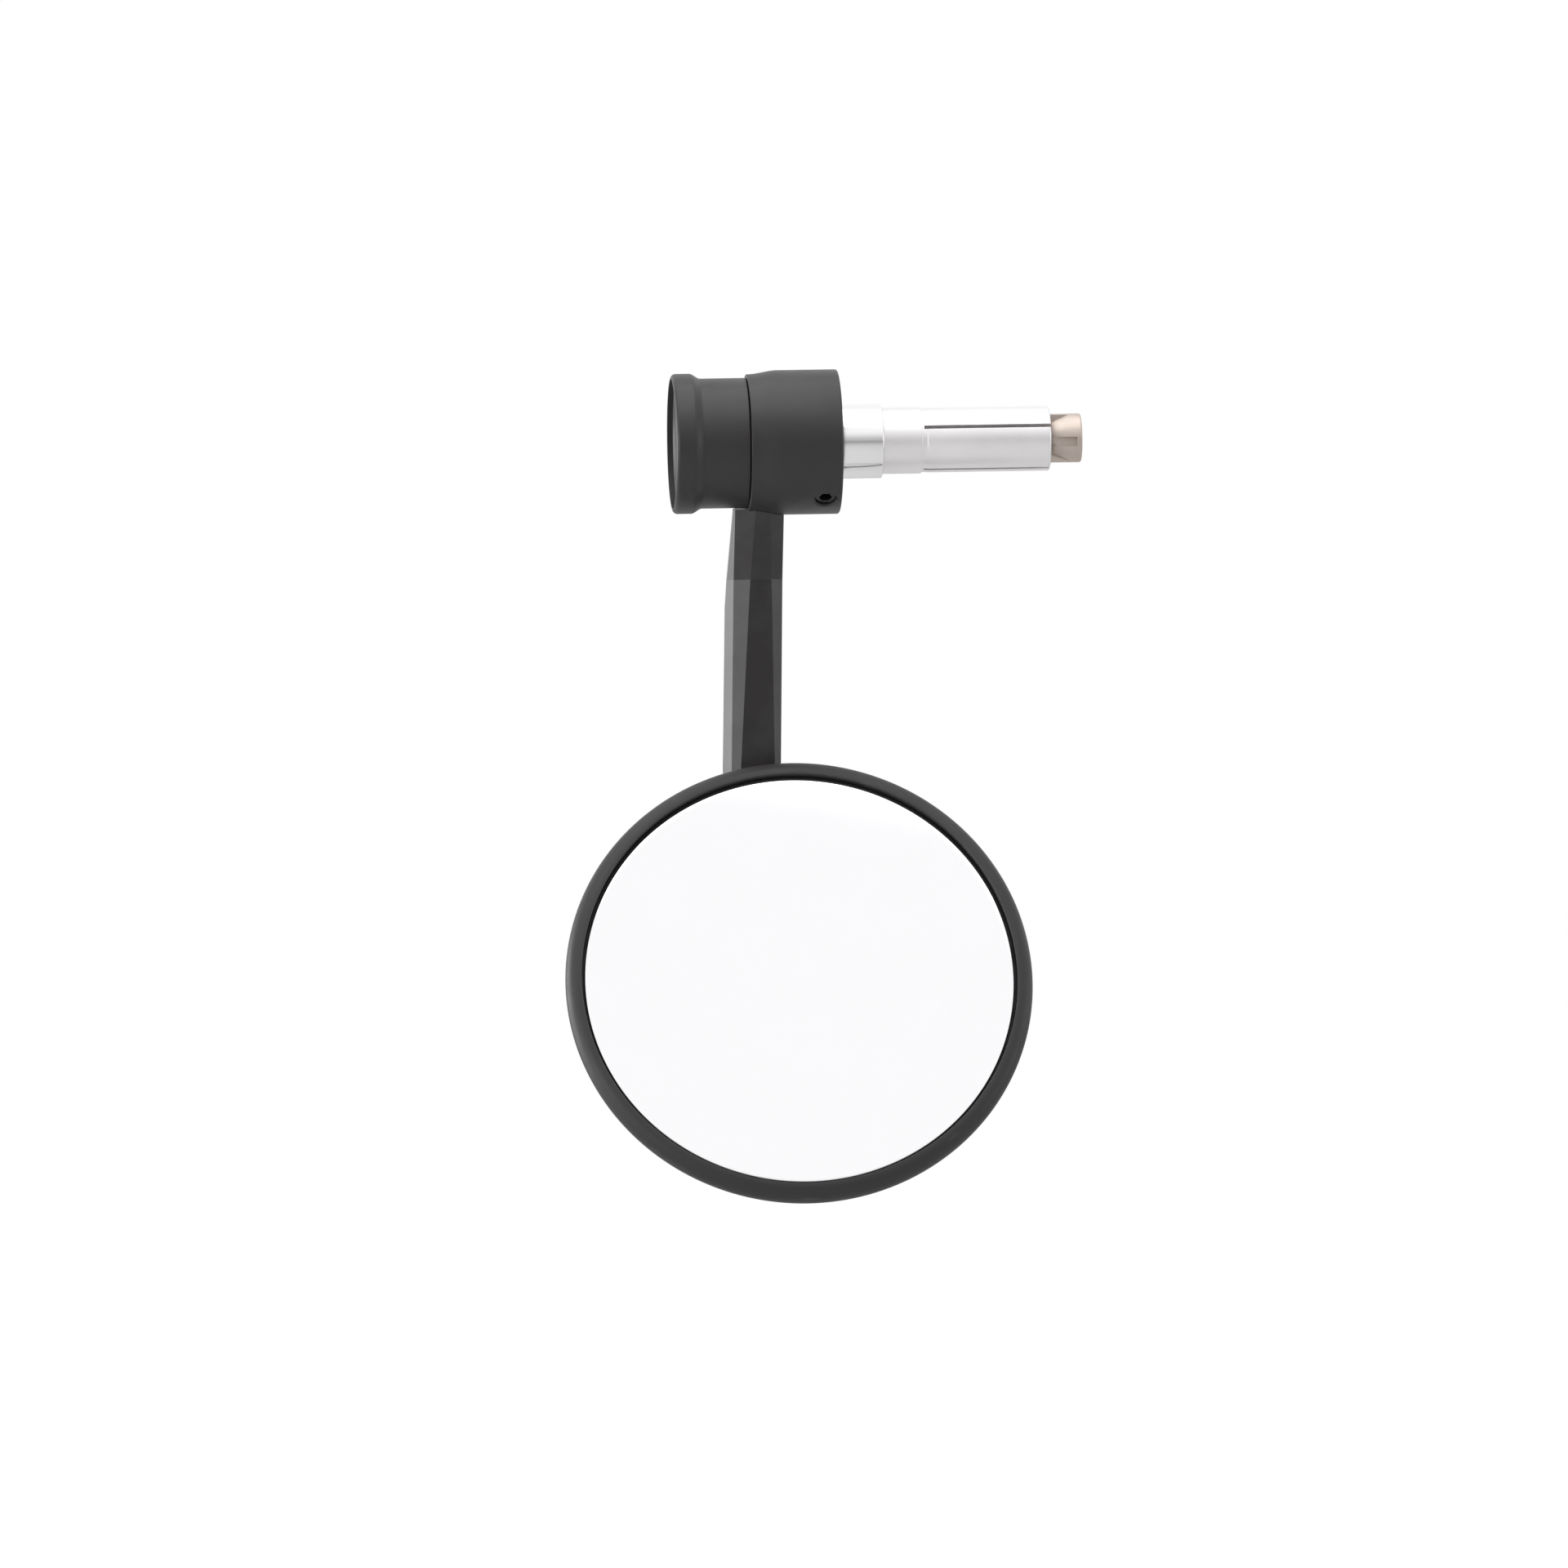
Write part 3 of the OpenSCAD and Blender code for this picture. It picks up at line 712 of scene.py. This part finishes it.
@dataclass
class EndWeight:
    """The turned weight outside the bar, with its face disc and the bolt's washers."""

    frame: Frame
    finishes: Finishes
    hub_r: float = 11.4
    waist_r: float = 14.3
    lip_r: float = 15.4
    lip_len: float = 4.0
    lip_round: float = 1.0
    taper_len: float = 2.4
    outer_x: float = -46.12
    seam_x: float = -29.72
    hub_x: float = -10.1
    disc_r: float = 14.25
    disc_x: float = -43.42
    seat_x: float = -34.62
    counterbore_r: float = 4.95
    hole_r: float = 2.75
    groove: tuple[float, float, float, float] = (-15.4, -14.6, -11.6, -10.8)
    groove_depth: float = 0.8
    rim_chamfer: float = 0.08
    seam_round: float = 0.25
    hub_round: float = 0.3

    def outline(self) -> list[Point]:
        """Section of the weight, from the pocket for the disc round to the counterbore.

        Returns:
            Its (radius, height) points.
        """
        groove_r = self.hub_r - self.groove_depth
        lip, seam, hub = self.lip_round, self.seam_round, self.hub_round
        return [
            (self.disc_r, self.disc_x), (self.disc_r, self.outer_x + self.rim_chamfer),
            (self.disc_r + self.rim_chamfer, self.outer_x),
            *arc((self.lip_r - lip, self.outer_x + lip), lip, -90, 0, 12),
            *blend((self.lip_r, self.outer_x + self.lip_len),
                   (self.waist_r, self.outer_x + self.lip_len + self.taper_len), 16),
            *arc((self.waist_r - seam, self.seam_x - seam), seam, 0, 90, 5),
            (self.hub_r, self.seam_x), (self.hub_r, self.groove[0]), (groove_r, self.groove[1]),
            (groove_r, self.groove[2]), (self.hub_r, self.groove[3]),
            *arc((self.hub_r - hub, self.hub_x - hub), hub, 0, 90, 3),
            (self.hole_r, self.hub_x), (self.hole_r, self.seat_x),
            (self.counterbore_r, self.seat_x), (self.counterbore_r, self.disc_x)]

    def build(self) -> None:
        """Make the weight and dress what it carries."""
        weight = turning("end_weight_turned", self.outline(), along_bar(), bored=True)
        put_on(weight, self.finishes.black_matt, Body.MOUNT, "black_matt", "end_weight")
        disc = copy_of_node(self.frame, "face_disc", "face_disc_rounded")
        round_edges(disc, 0.2, 40)
        put_on(disc, self.finishes.black_matt, Body.MOUNT, "black_matt", "face_disc")
        dress_node(self.frame, "bolt_washer", self.finishes.zinc_steel)
        dress_node(self.frame, "lock_washer", self.finishes.zinc_steel)


@dataclass
class ClampRing:
    """The flared ring that clamps on the hub, with its grub screw."""

    frame: Frame
    finishes: Finishes
    bore_r: float = 11.45
    seam_r: float = 15.1
    ring_r: float = 15.9
    left_x: float = -29.6
    right_x: float = -9.5
    flare_len: float = 6.8
    grub_r: float = 2.34
    grub_x: float = -13.1
    grub_turn: float = -34.2
    seam_round: float = 0.25
    plug_round: float = 0.5
    bore_chamfer: float = 0.3
    sink: float = 1.2
    sink_depth: float = 0.55

    def outline(self) -> list[Point]:
        """Section of the ring, from the bore at the seam round to the bore at the plug.

        Returns:
            Its (radius, height) points.
        """
        seam, plug, bore = self.seam_round, self.plug_round, self.bore_chamfer
        return [
            (self.bore_r + bore, self.left_x),
            *arc((self.seam_r - seam, self.left_x + seam), seam, -90, 0, 5),
            *blend((self.seam_r, self.left_x + 2 * seam),
                   (self.ring_r, self.left_x + self.flare_len), 18),
            *arc((self.ring_r - plug, self.right_x - plug), plug, 0, 90, 6),
            (self.bore_r + bore, self.right_x), (self.bore_r, self.right_x - bore),
            (self.bore_r, self.left_x + bore)]

    def build(self) -> None:
        """Make the ring, drill it for the grub screw, and dress the screws."""
        ring = turning("clamp_ring_turned", self.outline(), along_bar(), bored=True)
        drill_place = (Matrix.Translation((self.grub_x * MM, 0, 0))
                       @ Matrix.Rotation(math.radians(180 + self.grub_turn), 4, "X"))
        start, sunk = self.bore_r / 2, self.ring_r - self.sink_depth
        out = sunk + self.sink
        drill = turning("grub_drill", [
            (0, start), (self.grub_r, start), (self.grub_r, sunk), (self.grub_r + self.sink, out),
            (0, out)], drill_place)
        combine(ring, drill, Cut.AWAY)
        soften(ring)
        put_on(ring, self.finishes.black_matt, Body.ARM, "black_matt", "clamp_ring")
        screw = copy_of_node(self.frame, "grub_screw", "grub_screw_rounded")
        round_edges(screw, 0.1, 40)
        put_on(screw, self.finishes.black_steel, Body.ARM, "black_steel", "grub_screw")
        dress_node(self.frame, "stem_screw", self.finishes.black_steel)
        dress_node(self.frame, "stem_dowel", self.finishes.bright_steel)


@dataclass
class ExpandingPlug:
    """The spacer collar, slotted sleeve, cone and draw bolt that grip inside the bar."""

    frame: Frame
    finishes: Finishes
    hole_r: float = 2.75
    spacer_r: float = 8.15
    spacer_x: float = -10.05
    sleeve_r: float = 7.3
    grip_r: float = 7.1
    sleeve_len: float = 37.1
    slot_len: float = 28.0
    step_ahead: float = 0.4
    band: tuple[float, float] = (1.2, 0.07)
    slot_w: float = 0.8
    slot_count: int = 4
    slot_turn: float = -22.5
    mouth_r: float = 5.6
    mouth_len: float = 4.5
    seat_len: float = 8.09
    cone_r: float = 5.38
    neck_r: float = 3.9
    taper: float = 4.2
    cone_out: float = 7.0
    cone_in: float = 1.2
    cone_bore_r: float = 2.55
    rib_w: float = 2.0
    rib_turns: tuple[float, ...] = (-81.0, 79.0, 180.0)
    key_turn: float = -1.0
    key_w: float = 2.0
    key_depth: float = 1.3
    key_end: float = 1.2
    spacer_rounds: tuple[float, float] = (0.2, 0.25)
    chamfer: float = 0.15
    mouth_round: float = 0.5
    cone_round: float = 0.4
    step_chamfer: float = 0.1
    gap: float = 0.05
    lead: float = 0.05

    def spacer(self) -> Piece:
        """Make the spacer collar.

        Returns:
            The collar.
        """
        left, right = self.spacer_rounds
        return turning("spacer_collar_turned", [
            (self.hole_r, self.spacer_x),
            *arc((self.spacer_r - left, self.spacer_x + left), left, -90, 0, 3),
            *arc((self.spacer_r - right, -right), right, 0, 90, 4),
            (self.hole_r, 0.0)], along_bar(), bored=True)

    def sleeve(self) -> Piece:
        """Make the sleeve, with its slots cut by a ring of cutters.

        Returns:
            The sleeve.
        """
        slot_x = self.sleeve_len - self.slot_len
        step_x = slot_x - self.step_ahead
        band_x, band_r = step_x + self.band[0], self.grip_r - self.band[1]
        cut, mouth, step_cut = self.chamfer, self.mouth_round, self.step_chamfer
        outside = [
            (self.sleeve_r - cut, self.gap), (self.sleeve_r, self.gap + cut),
            (self.sleeve_r, step_x - step_cut), (self.sleeve_r - step_cut, step_x),
            (band_r, step_x), (band_r, band_x - self.lead), (self.grip_r, band_x),
            (self.grip_r, self.sleeve_len - mouth - self.lead),
            *arc((self.grip_r - mouth, self.sleeve_len - mouth), mouth, 0, 90, 6)]
        inside = [
            (self.mouth_r + cut, self.sleeve_len), (self.mouth_r, self.sleeve_len - cut),
            (self.mouth_r, self.sleeve_len - self.mouth_len),
            (self.hole_r, self.sleeve_len - self.mouth_len - self.seat_len),
            (self.hole_r, self.gap)]
        tube = turning("expander_sleeve_slotted", outside + inside, along_bar(), bored=True)
        cutter = block("slot_cutter", (slot_x, -self.sleeve_r - 1, -self.slot_w / 2),
                       (self.sleeve_len + 1, 0, self.slot_w / 2))
        grow(cutter, ring_of_copies_tree(), {
            "Count": self.slot_count, "First angle": math.radians(self.slot_turn)})
        combine(tube, cutter, Cut.AWAY)
        round_edges(tube, 0.07, 50, 1)
        return tube

    def cone(self) -> Piece:
        """Make the cone, with its ribs joined on and its keyway cut.

        Returns:
            The cone.
        """
        start, full, end = (self.sleeve_len - self.cone_in, self.sleeve_len + self.taper,
                            self.sleeve_len + self.cone_out)
        slope = (self.cone_r - self.neck_r) / self.taper
        edge, bore = self.cone_round, self.cone_round / 2
        cone = turning("expander_cone_ribbed", [
            (self.cone_bore_r, start), (self.neck_r - self.cone_in * slope, start),
            (self.cone_r, full), (self.cone_r, end - edge - self.lead),
            *arc((self.cone_r - edge, end - edge), edge, 0, 90, 4),
            (self.cone_bore_r + bore, end), (self.cone_bore_r, end - bore)],
            along_bar(), bored=True)
        for turn in self.rib_turns:
            rib = block("rib_blank", (start, -self.cone_r + 0.1, -self.rib_w / 2),
                        (full - 0.02, -self.cone_bore_r - 0.08, self.rib_w / 2))
            rib.data.transform(Matrix.Rotation(math.radians(turn), 4, "X"))
            combine(cone, rib, Cut.JOIN)
        key = block("keyway_cutter", (start - 1, -self.cone_r - 1, -self.key_w),
                    (end - self.key_end, -self.cone_r + self.key_depth, 0))
        key.data.transform(Matrix.Rotation(math.radians(self.key_turn), 4, "X"))
        combine(cone, key, Cut.AWAY)
        soften(cone)
        return cone

    def bolt(self) -> Piece:
        """Round the draw bolt's edges.

        Returns:
            The bolt.
        """
        bolt = copy_of_node(self.frame, "draw_bolt", "draw_bolt_rounded")
        round_edges(bolt, 0.2, 40)
        return bolt

    def build(self) -> None:
        """Make and dress the plug."""
        made = self.finishes
        put_on(self.spacer(), made.polished_alloy, Body.MOUNT, "polished_alloy", "spacer_collar")
        put_on(self.sleeve(), made.satin_alloy, Body.MOUNT, "satin_alloy", "expander_sleeve")
        put_on(self.cone(), made.bronze, Body.CONE, "bronze", "expander_cone")
        put_on(self.bolt(), made.zinc_steel, Body.DRAW_BOLT, "zinc_steel", "draw_bolt")


@dataclass
class Stem:
    """The faceted stem, with its facets' edges softened."""

    frame: Frame
    finishes: Finishes
    edge: float = 0.22
    crease: float = 20.0
    flat: float = 1.0

    def build(self) -> None:
        """Make and dress the stem, with each facet shaded flat."""
        stem = copy_of_node(self.frame, "stem", "stem_softened")
        round_edges(stem, self.edge, self.crease, 2)
        stem.data.set_sharp_from_angle(angle=math.radians(self.flat))
        put_on(stem, self.finishes.black_satin, Body.ARM, "black_satin", "stem")


@dataclass
class BallJoint:
    """The ball stud, its nut and washer, and the friction cups."""

    frame: Frame
    finishes: Finishes
    ball: Place = BALL
    tilt: float = 11.0
    ball_r: float = 6.0
    neck_r: float = 2.8
    collar_z: float = -12.0
    collar_t: float = 4.0
    collar_af: float = 10.0
    shank_r: float = 3.0
    thread_root_r: float = 2.5
    thread_len: float = 6.6
    pitch: float = 1.0
    end_z: float = -32.5
    end_chamfer: float = 0.4
    ball_steps: int = 48
    ridge: float = 0.48
    ridge_sunk: float = 0.02
    ridge_start: float = 0.55
    ridge_short: float = 1.0

    def place(self) -> Matrix:
        """Matrix from the stud's axis to the frame."""
        return (Matrix.Translation(Vector(self.ball) * MM)
                @ Matrix.Rotation(math.radians(90 - self.tilt), 4, "X"))

    def stud(self) -> Piece:
        """Turn the stud and add its hexagon collar.

        Returns:
            The stud.
        """
        start = math.degrees(math.asin(self.neck_r / self.ball_r))
        ball = arc((0.0, 0.0), self.ball_r, start - 90, 90, self.ball_steps)[:-1]
        thread_top = self.end_z + self.thread_len
        stud = turning("ball_stud_turned", [
            (0, self.end_z), (self.thread_root_r - self.end_chamfer, self.end_z),
            (self.thread_root_r, self.end_z + self.end_chamfer),
            (self.thread_root_r, thread_top), (self.shank_r, thread_top + 0.5),
            (self.shank_r, self.collar_z), (self.neck_r, self.collar_z),
            *ball, (0, self.ball_r)], self.place())
        collar = bmesh.new()
        corner_r = self.collar_af / math.sqrt(3) * MM
        bmesh.ops.create_cone(collar, cap_ends=True, segments=6, radius1=corner_r,
                              radius2=corner_r, depth=self.collar_t * MM)
        middle = Matrix.Translation((0, 0, (self.collar_z - self.collar_t / 2) * MM))
        collar.transform(self.place() @ middle)
        hexagon = finished_object("collar_blank", collar)
        round_edges(hexagon, 0.35, 40, 2)
        combine(stud, hexagon, Cut.JOIN)
        soften(stud)
        return stud

    def thread(self) -> Piece:
        """Wind the thread of the stud's free end.

        Returns:
            The thread.
        """
        ridge = empty_piece("stud_thread")
        grow(ridge, thread_tree(), {
            "Root radius": (self.thread_root_r - self.ridge_sunk) * MM,
            "Depth": self.ridge * MM, "Pitch": self.pitch * MM,
            "Length": (self.thread_len - self.ridge_short) * MM})
        start = Matrix.Translation((0, 0, (self.end_z + self.ridge_start) * MM))
        ridge.data.transform(self.place() @ start)
        soften(ridge)
        return ridge

    def build(self) -> None:
        """Make and dress the joint."""
        made = self.finishes
        put_on(self.stud(), made.bright_steel, Body.ARM, "bright_steel", "ball_stud")
        put_on(self.thread(), made.bright_steel, Body.ARM, "bright_steel")
        nut = copy_of_node(self.frame, "stud_nut", "stud_nut_rounded")
        round_edges(nut, 0.3, 40)
        put_on(nut, made.zinc_steel, Body.ARM, "zinc_steel", "stud_nut")
        washer = copy_of_node(self.frame, "stud_washer", "stud_washer_rounded")
        round_edges(washer, 0.15, 40)
        put_on(washer, made.zinc_steel, Body.ARM, "zinc_steel", "stud_washer")
        dress_node(self.frame, "rear_cup", made.cup_plastic)
        dress_node(self.frame, "front_cup", made.cup_plastic)


@dataclass
class MirrorHead:
    """The round shell with its rim and boss, the convex glass and its gasket."""

    frame: Frame
    finishes: Finishes
    ball: Place = BALL
    tilt: float = 21.2
    yaw: float = -1.0
    glass_r: float = 46.95
    glass_t: float = 2.0
    glass_curve: float = 1200.0
    glass_z: float = 13.5
    recess_r: float = 47.6
    rim_core: Point = (47.66, 11.7)
    rim_round: float = 3.4
    lip_chamfer: float = 0.16
    back_slope: float = 17.0
    wall: float = 2.2
    ledge_z: float = 10.6
    ledge_r: float = 43.5
    boss_r: float = 13.2
    boss_back: float = -7.0
    boss_front: float = 4.2
    boss_round: float = 1.6
    socket_r: float = 7.6
    open_r: float = 5.3
    gasket_gap: float = 0.05
    gasket_depth: float = 0.68
    fillet: float = 3.0
    fillet_drop: tuple[float, float] = (2.6, 0.3)

    def place(self) -> Matrix:
        """Matrix from the glass axis to the frame.

        Returns:
            The matrix, in metres.
        """
        return (Matrix.Translation(Vector(self.ball) * MM)
                @ Matrix.Rotation(math.radians(self.yaw), 4, "Z")
                @ Matrix.Rotation(math.radians(90 - self.tilt), 4, "X"))

    def dome(self, radius: float, inset: float) -> float:
        """Height of the dome.

        Args:
            radius: distance from the axis.
            inset: wall by which the surface is set in.

        Returns:
            The height on the glass axis.
        """
        start = math.radians(self.back_slope - 90)
        edge_r = self.rim_core[0] + self.rim_round * math.cos(start)
        edge_z = self.rim_core[1] + self.rim_round * math.sin(start)
        sphere = edge_r / math.sin(math.radians(self.back_slope))
        centre = edge_z + sphere * math.cos(math.radians(self.back_slope))
        return centre - math.sqrt((sphere - inset) ** 2 - radius ** 2)

    def foot(self, foot_r: float, foot_z: float) -> list[Point]:
        """Points of the fillet between the boss and the dome, without its two ends.

        Args:
            foot_r: radius at which the fillet meets the dome.
            foot_z: height there.

        Returns:
            The points, from the boss outwards.
        """
        low, high = self.fillet_drop
        points = []
        for share in [i / 9 for i in range(1, 9)]:
            first, second, third = (1 - share) ** 2, 2 * share * (1 - share), share * share
            points.append((self.boss_r * (first + second) + foot_r * third,
                           (foot_z - low) * first + (foot_z - high) * second + foot_z * third))
        return points

    def shell(self) -> Piece:
        """Turn the shell: boss, fillet, dome, rolled rim, recess, hollow and socket.

        Returns:
            The shell.
        """
        edge_r = self.rim_core[0] + self.rim_round * math.cos(math.radians(self.back_slope - 90))
        foot_r = self.boss_r + self.fillet
        foot_z = self.dome(foot_r, 0)
        hollow_r = self.boss_r + 1
        dome = [(r, self.dome(r, 0))
                for r in [foot_r + (edge_r - foot_r) * i / 40 for i in range(40)]]
        rim = arc(self.rim_core, self.rim_round, self.back_slope - 90, 90, 36)
        lip_z = self.rim_core[1] + self.rim_round
        inner = [(r, self.dome(r, self.wall))
                 for r in [self.ledge_r + (hollow_r - self.ledge_r) * i / 12 for i in range(13)]]
        low = math.degrees(math.asin(self.open_r / self.socket_r))
        socket = arc((0.0, 0.0), self.socket_r, 0, low - 90, 10)
        return turning("head_shell_turned", [
            (self.open_r, self.boss_back),
            *arc((self.boss_r - self.boss_round, self.boss_back + self.boss_round),
                 self.boss_round, -90, 0, 8),
            (self.boss_r, foot_z - self.fillet_drop[0]), *self.foot(foot_r, foot_z), *dome, *rim,
            (self.recess_r, lip_z - self.lip_chamfer), (self.recess_r, self.ledge_z),
            (self.ledge_r, self.ledge_z), *inner, (self.socket_r, self.boss_front), *socket],
            self.place(), bored=True)

    def glass(self) -> Piece:
        """Make the convex glass from its rule, and give it its thickness.

        Returns:
            The glass.
        """
        glass = empty_piece("mirror_glass_convex")
        grow(glass, convex_glass_tree(), {
            "Radius": self.glass_r * MM, "Curvature": self.glass_curve * MM})
        shape = bmesh.new()
        shape.from_mesh(glass.data)
        bmesh.ops.remove_doubles(shape, verts=shape.verts, dist=MERGE / 2)
        bmesh.ops.recalc_face_normals(shape, faces=shape.faces)
        shape.faces.ensure_lookup_table()
        if shape.faces[0].normal.z < 0:
            bmesh.ops.reverse_faces(shape, faces=shape.faces)
        shape.to_mesh(glass.data)
        shape.free()
        wall = glass.modifiers.new("Thickness", "SOLIDIFY")
        wall.thickness = self.glass_t * MM
        wall.offset = -1.0
        settle(glass)
        round_edges(glass, 0.3, 60, 3)
        glass.data.transform(self.place() @ Matrix.Translation((0, 0, self.glass_z * MM)))
        return glass

    def gasket(self) -> Piece:
        """Turn the gasket, of which the thin dark line round the glass shows.

        Returns:
            The gasket.
        """
        gap = self.gasket_gap
        side, inside = self.recess_r - gap, self.glass_r + gap
        low, back = self.ledge_z + gap, self.glass_z - self.glass_t - gap
        top = self.glass_z - self.gasket_depth
        return turning("glass_gasket_turned", [
            (self.ledge_r, low), (side, low), (side, top - 0.07),
            (side - 0.1, top), (inside + 0.07, top), (inside, top - 0.07),
            (inside, back), (self.ledge_r, back)], self.place(), bored=True)

    def build(self) -> None:
        """Make and dress the head."""
        made = self.finishes
        put_on(self.shell(), made.black_shell, Body.HEAD, "black_shell", "head_shell")
        put_on(self.glass(), made.mirror_glass, Body.HEAD, "mirror_glass", "mirror_glass")
        put_on(self.gasket(), made.gasket_rubber, Body.HEAD, "gasket_rubber", "glass_gasket")
        dress_node(self.frame, "glass_pad", made.foam_pad)
        dress_node(self.frame, "clamp_plate", made.plate_steel)
        dress_node(self.frame, "plate_screws", made.black_steel)


# Studio


@dataclass(frozen=True)
class Lamp:
    """A square soft lamp: where it hangs and its side, in metres, and its power in watts."""

    name: str
    place: Place
    size: float
    power: float


@dataclass
class Studio:
    """A pale floor, soft lamps, a white surround and the camera.

    The surround is 1 to the camera. Its ambient value lights the object, and gloss sees its front
    value where it looks to the front and below, and its open value behind and above.
    """

    floor_z: float = -0.30
    floor_size: float = 60.0
    floor_tone: float = 0.78
    floor_glow: float = 0.67
    ambient: float = 0.42
    gloss_front: float = 0.5
    gloss_open: float = 1.0
    behind_span: Span = (-0.8, -0.1)
    above_span: Span = (0.0, 0.5)
    lamps: tuple[Lamp, ...] = (
        Lamp("overhead", (-0.1, -0.3, 1.7), 2.3, 19.5),
        Lamp("left_back", (-1.25, 0.45, -0.05), 0.9, 11.5),
        Lamp("left_front", (-1.15, -0.75, -0.05), 0.7, 4.4),
        Lamp("right", (1.35, -0.35, -0.05), 0.7, 1.8))
    azimuth: float = -4.543
    elevation: float = 0.0
    roll: float = -1.014
    target: Place = (-0.022691, 0.0, -0.075113)
    distance: float = 3.0
    focal_pixels: float = 16706.7
    picture: float = 1920.0

    def camera(self) -> None:
        """Set the camera where the photograph's stood."""
        turn, rise, roll = (math.radians(a) for a in (self.azimuth, self.elevation, self.roll))
        back = Vector((math.sin(turn) * math.cos(rise), -math.cos(turn) * math.cos(rise),
                       math.sin(rise)))
        level = (-back).cross(Vector((0, 0, 1))).normalized()
        steep = level.cross(-back)
        right = math.cos(roll) * level + math.sin(roll) * steep
        up = math.cos(roll) * steep - math.sin(roll) * level
        data = bpy.data.cameras.new("camera")
        data.sensor_width = 36.0
        data.lens = data.sensor_width * self.focal_pixels / self.picture
        data.clip_end = 100.0
        camera = bpy.data.objects.new("camera", data)
        eye = Vector(self.target) + back * self.distance
        camera.matrix_world = Matrix((
            (right.x, up.x, back.x, eye.x), (right.y, up.y, back.y, eye.y),
            (right.z, up.z, back.z, eye.z), (0, 0, 0, 1)))
        bpy.context.scene.collection.objects.link(camera)
        bpy.context.scene.camera = camera

    def hang(self, lamp: Lamp) -> None:
        """Hang a lamp so that it faces the mirror.

        Args:
            lamp: the lamp to hang.
        """
        data = bpy.data.lights.new(lamp.name, "AREA")
        data.shape = "SQUARE"
        data.size = lamp.size
        data.energy = lamp.power
        hung = bpy.data.objects.new(lamp.name, data)
        hung.location = lamp.place
        aim = Vector(self.target) - Vector(lamp.place)
        hung.rotation_euler = aim.to_track_quat("-Z", "Y").to_euler()
        bpy.context.scene.collection.objects.link(hung)

    def floor(self) -> None:
        """Lay the pale floor, which glows a little to the camera alone, so that it shows white."""
        shape = bmesh.new()
        bmesh.ops.create_grid(shape, x_segments=1, y_segments=1, size=self.floor_size)
        bmesh.ops.translate(shape, verts=shape.verts, vec=(0, 0, self.floor_z))
        floor = finished_object("floor", shape)
        made = bpy.data.materials.new("pale_floor")
        made.use_nodes = True
        tree = Tree(made.node_tree)
        seen = tree.add("ShaderNodeLightPath").outputs["Is Camera Ray"]
        glow = tree.maths("MULTIPLY", seen, self.floor_glow)
        matt = tree.add("ShaderNodeBsdfDiffuse", {
            "Color": (self.floor_tone, self.floor_tone, self.floor_tone, 1)}).outputs[0]
        light = tree.add("ShaderNodeEmission", {"Color": (1, 1, 1, 1), "Strength": glow}).outputs[0]
        both = tree.add("ShaderNodeAddShader", {0: matt, 1: light}).outputs[0]
        tree.add("ShaderNodeOutputMaterial", {0: both})
        floor.data.materials.append(made)

    def surround(self) -> None:
        """Make the world: white to the camera, softer light, and a graded surround to gloss."""
        world = bpy.data.worlds.new("surround")
        bpy.context.scene.world = world
        world.use_nodes = True
        tree = Tree(world.node_tree)
        ray = tree.add("ShaderNodeLightPath")
        way = tree.add("ShaderNodeSeparateXYZ", {
            0: tree.add("ShaderNodeTexCoord").outputs["Generated"]})
        behind = tree.ramp(way.outputs[1], self.behind_span, smooth=True)
        above = tree.ramp(way.outputs[2], self.above_span, smooth=True)
        strength = tree.ramp(tree.maths("MAXIMUM", behind, above), (0.0, 1.0),
                             (self.gloss_front, self.gloss_open))
        gloss, soft, seen = (tree.add("ShaderNodeBackground", {
            "Color": (1, 1, 1, 1), "Strength": value}).outputs[0]
            for value in (strength, self.ambient, 1.0))
        mirrored = tree.add("ShaderNodeMixShader", {
            0: ray.outputs["Is Glossy Ray"], 1: soft, 2: gloss}).outputs[0]
        through = tree.add("ShaderNodeMixShader", {
            0: ray.outputs["Is Transmission Ray"], 1: mirrored, 2: gloss}).outputs[0]
        whole = tree.add("ShaderNodeMixShader", {
            0: ray.outputs["Is Camera Ray"], 1: through, 2: seen}).outputs[0]
        tree.add("ShaderNodeOutputWorld", {0: whole})

    def build(self) -> None:
        """Set up the studio."""
        self.camera()
        self.floor()
        self.surround()
        for lamp in self.lamps:
            self.hang(lamp)
        bpy.context.scene.view_settings.view_transform = "Standard"
        LOG.info("studio: camera, floor, surround and lamps")


def main() -> None:
    """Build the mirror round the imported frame."""
    logging.basicConfig(level=logging.INFO, format="%(name)s: %(message)s")
    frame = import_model()
    finishes = Finishes()
    Studio().build()
    for part in (EndWeight, ClampRing, ExpandingPlug, Stem, BallJoint, MirrorHead):
        part(frame, finishes).build()


if __name__ == "__main__":
    main()
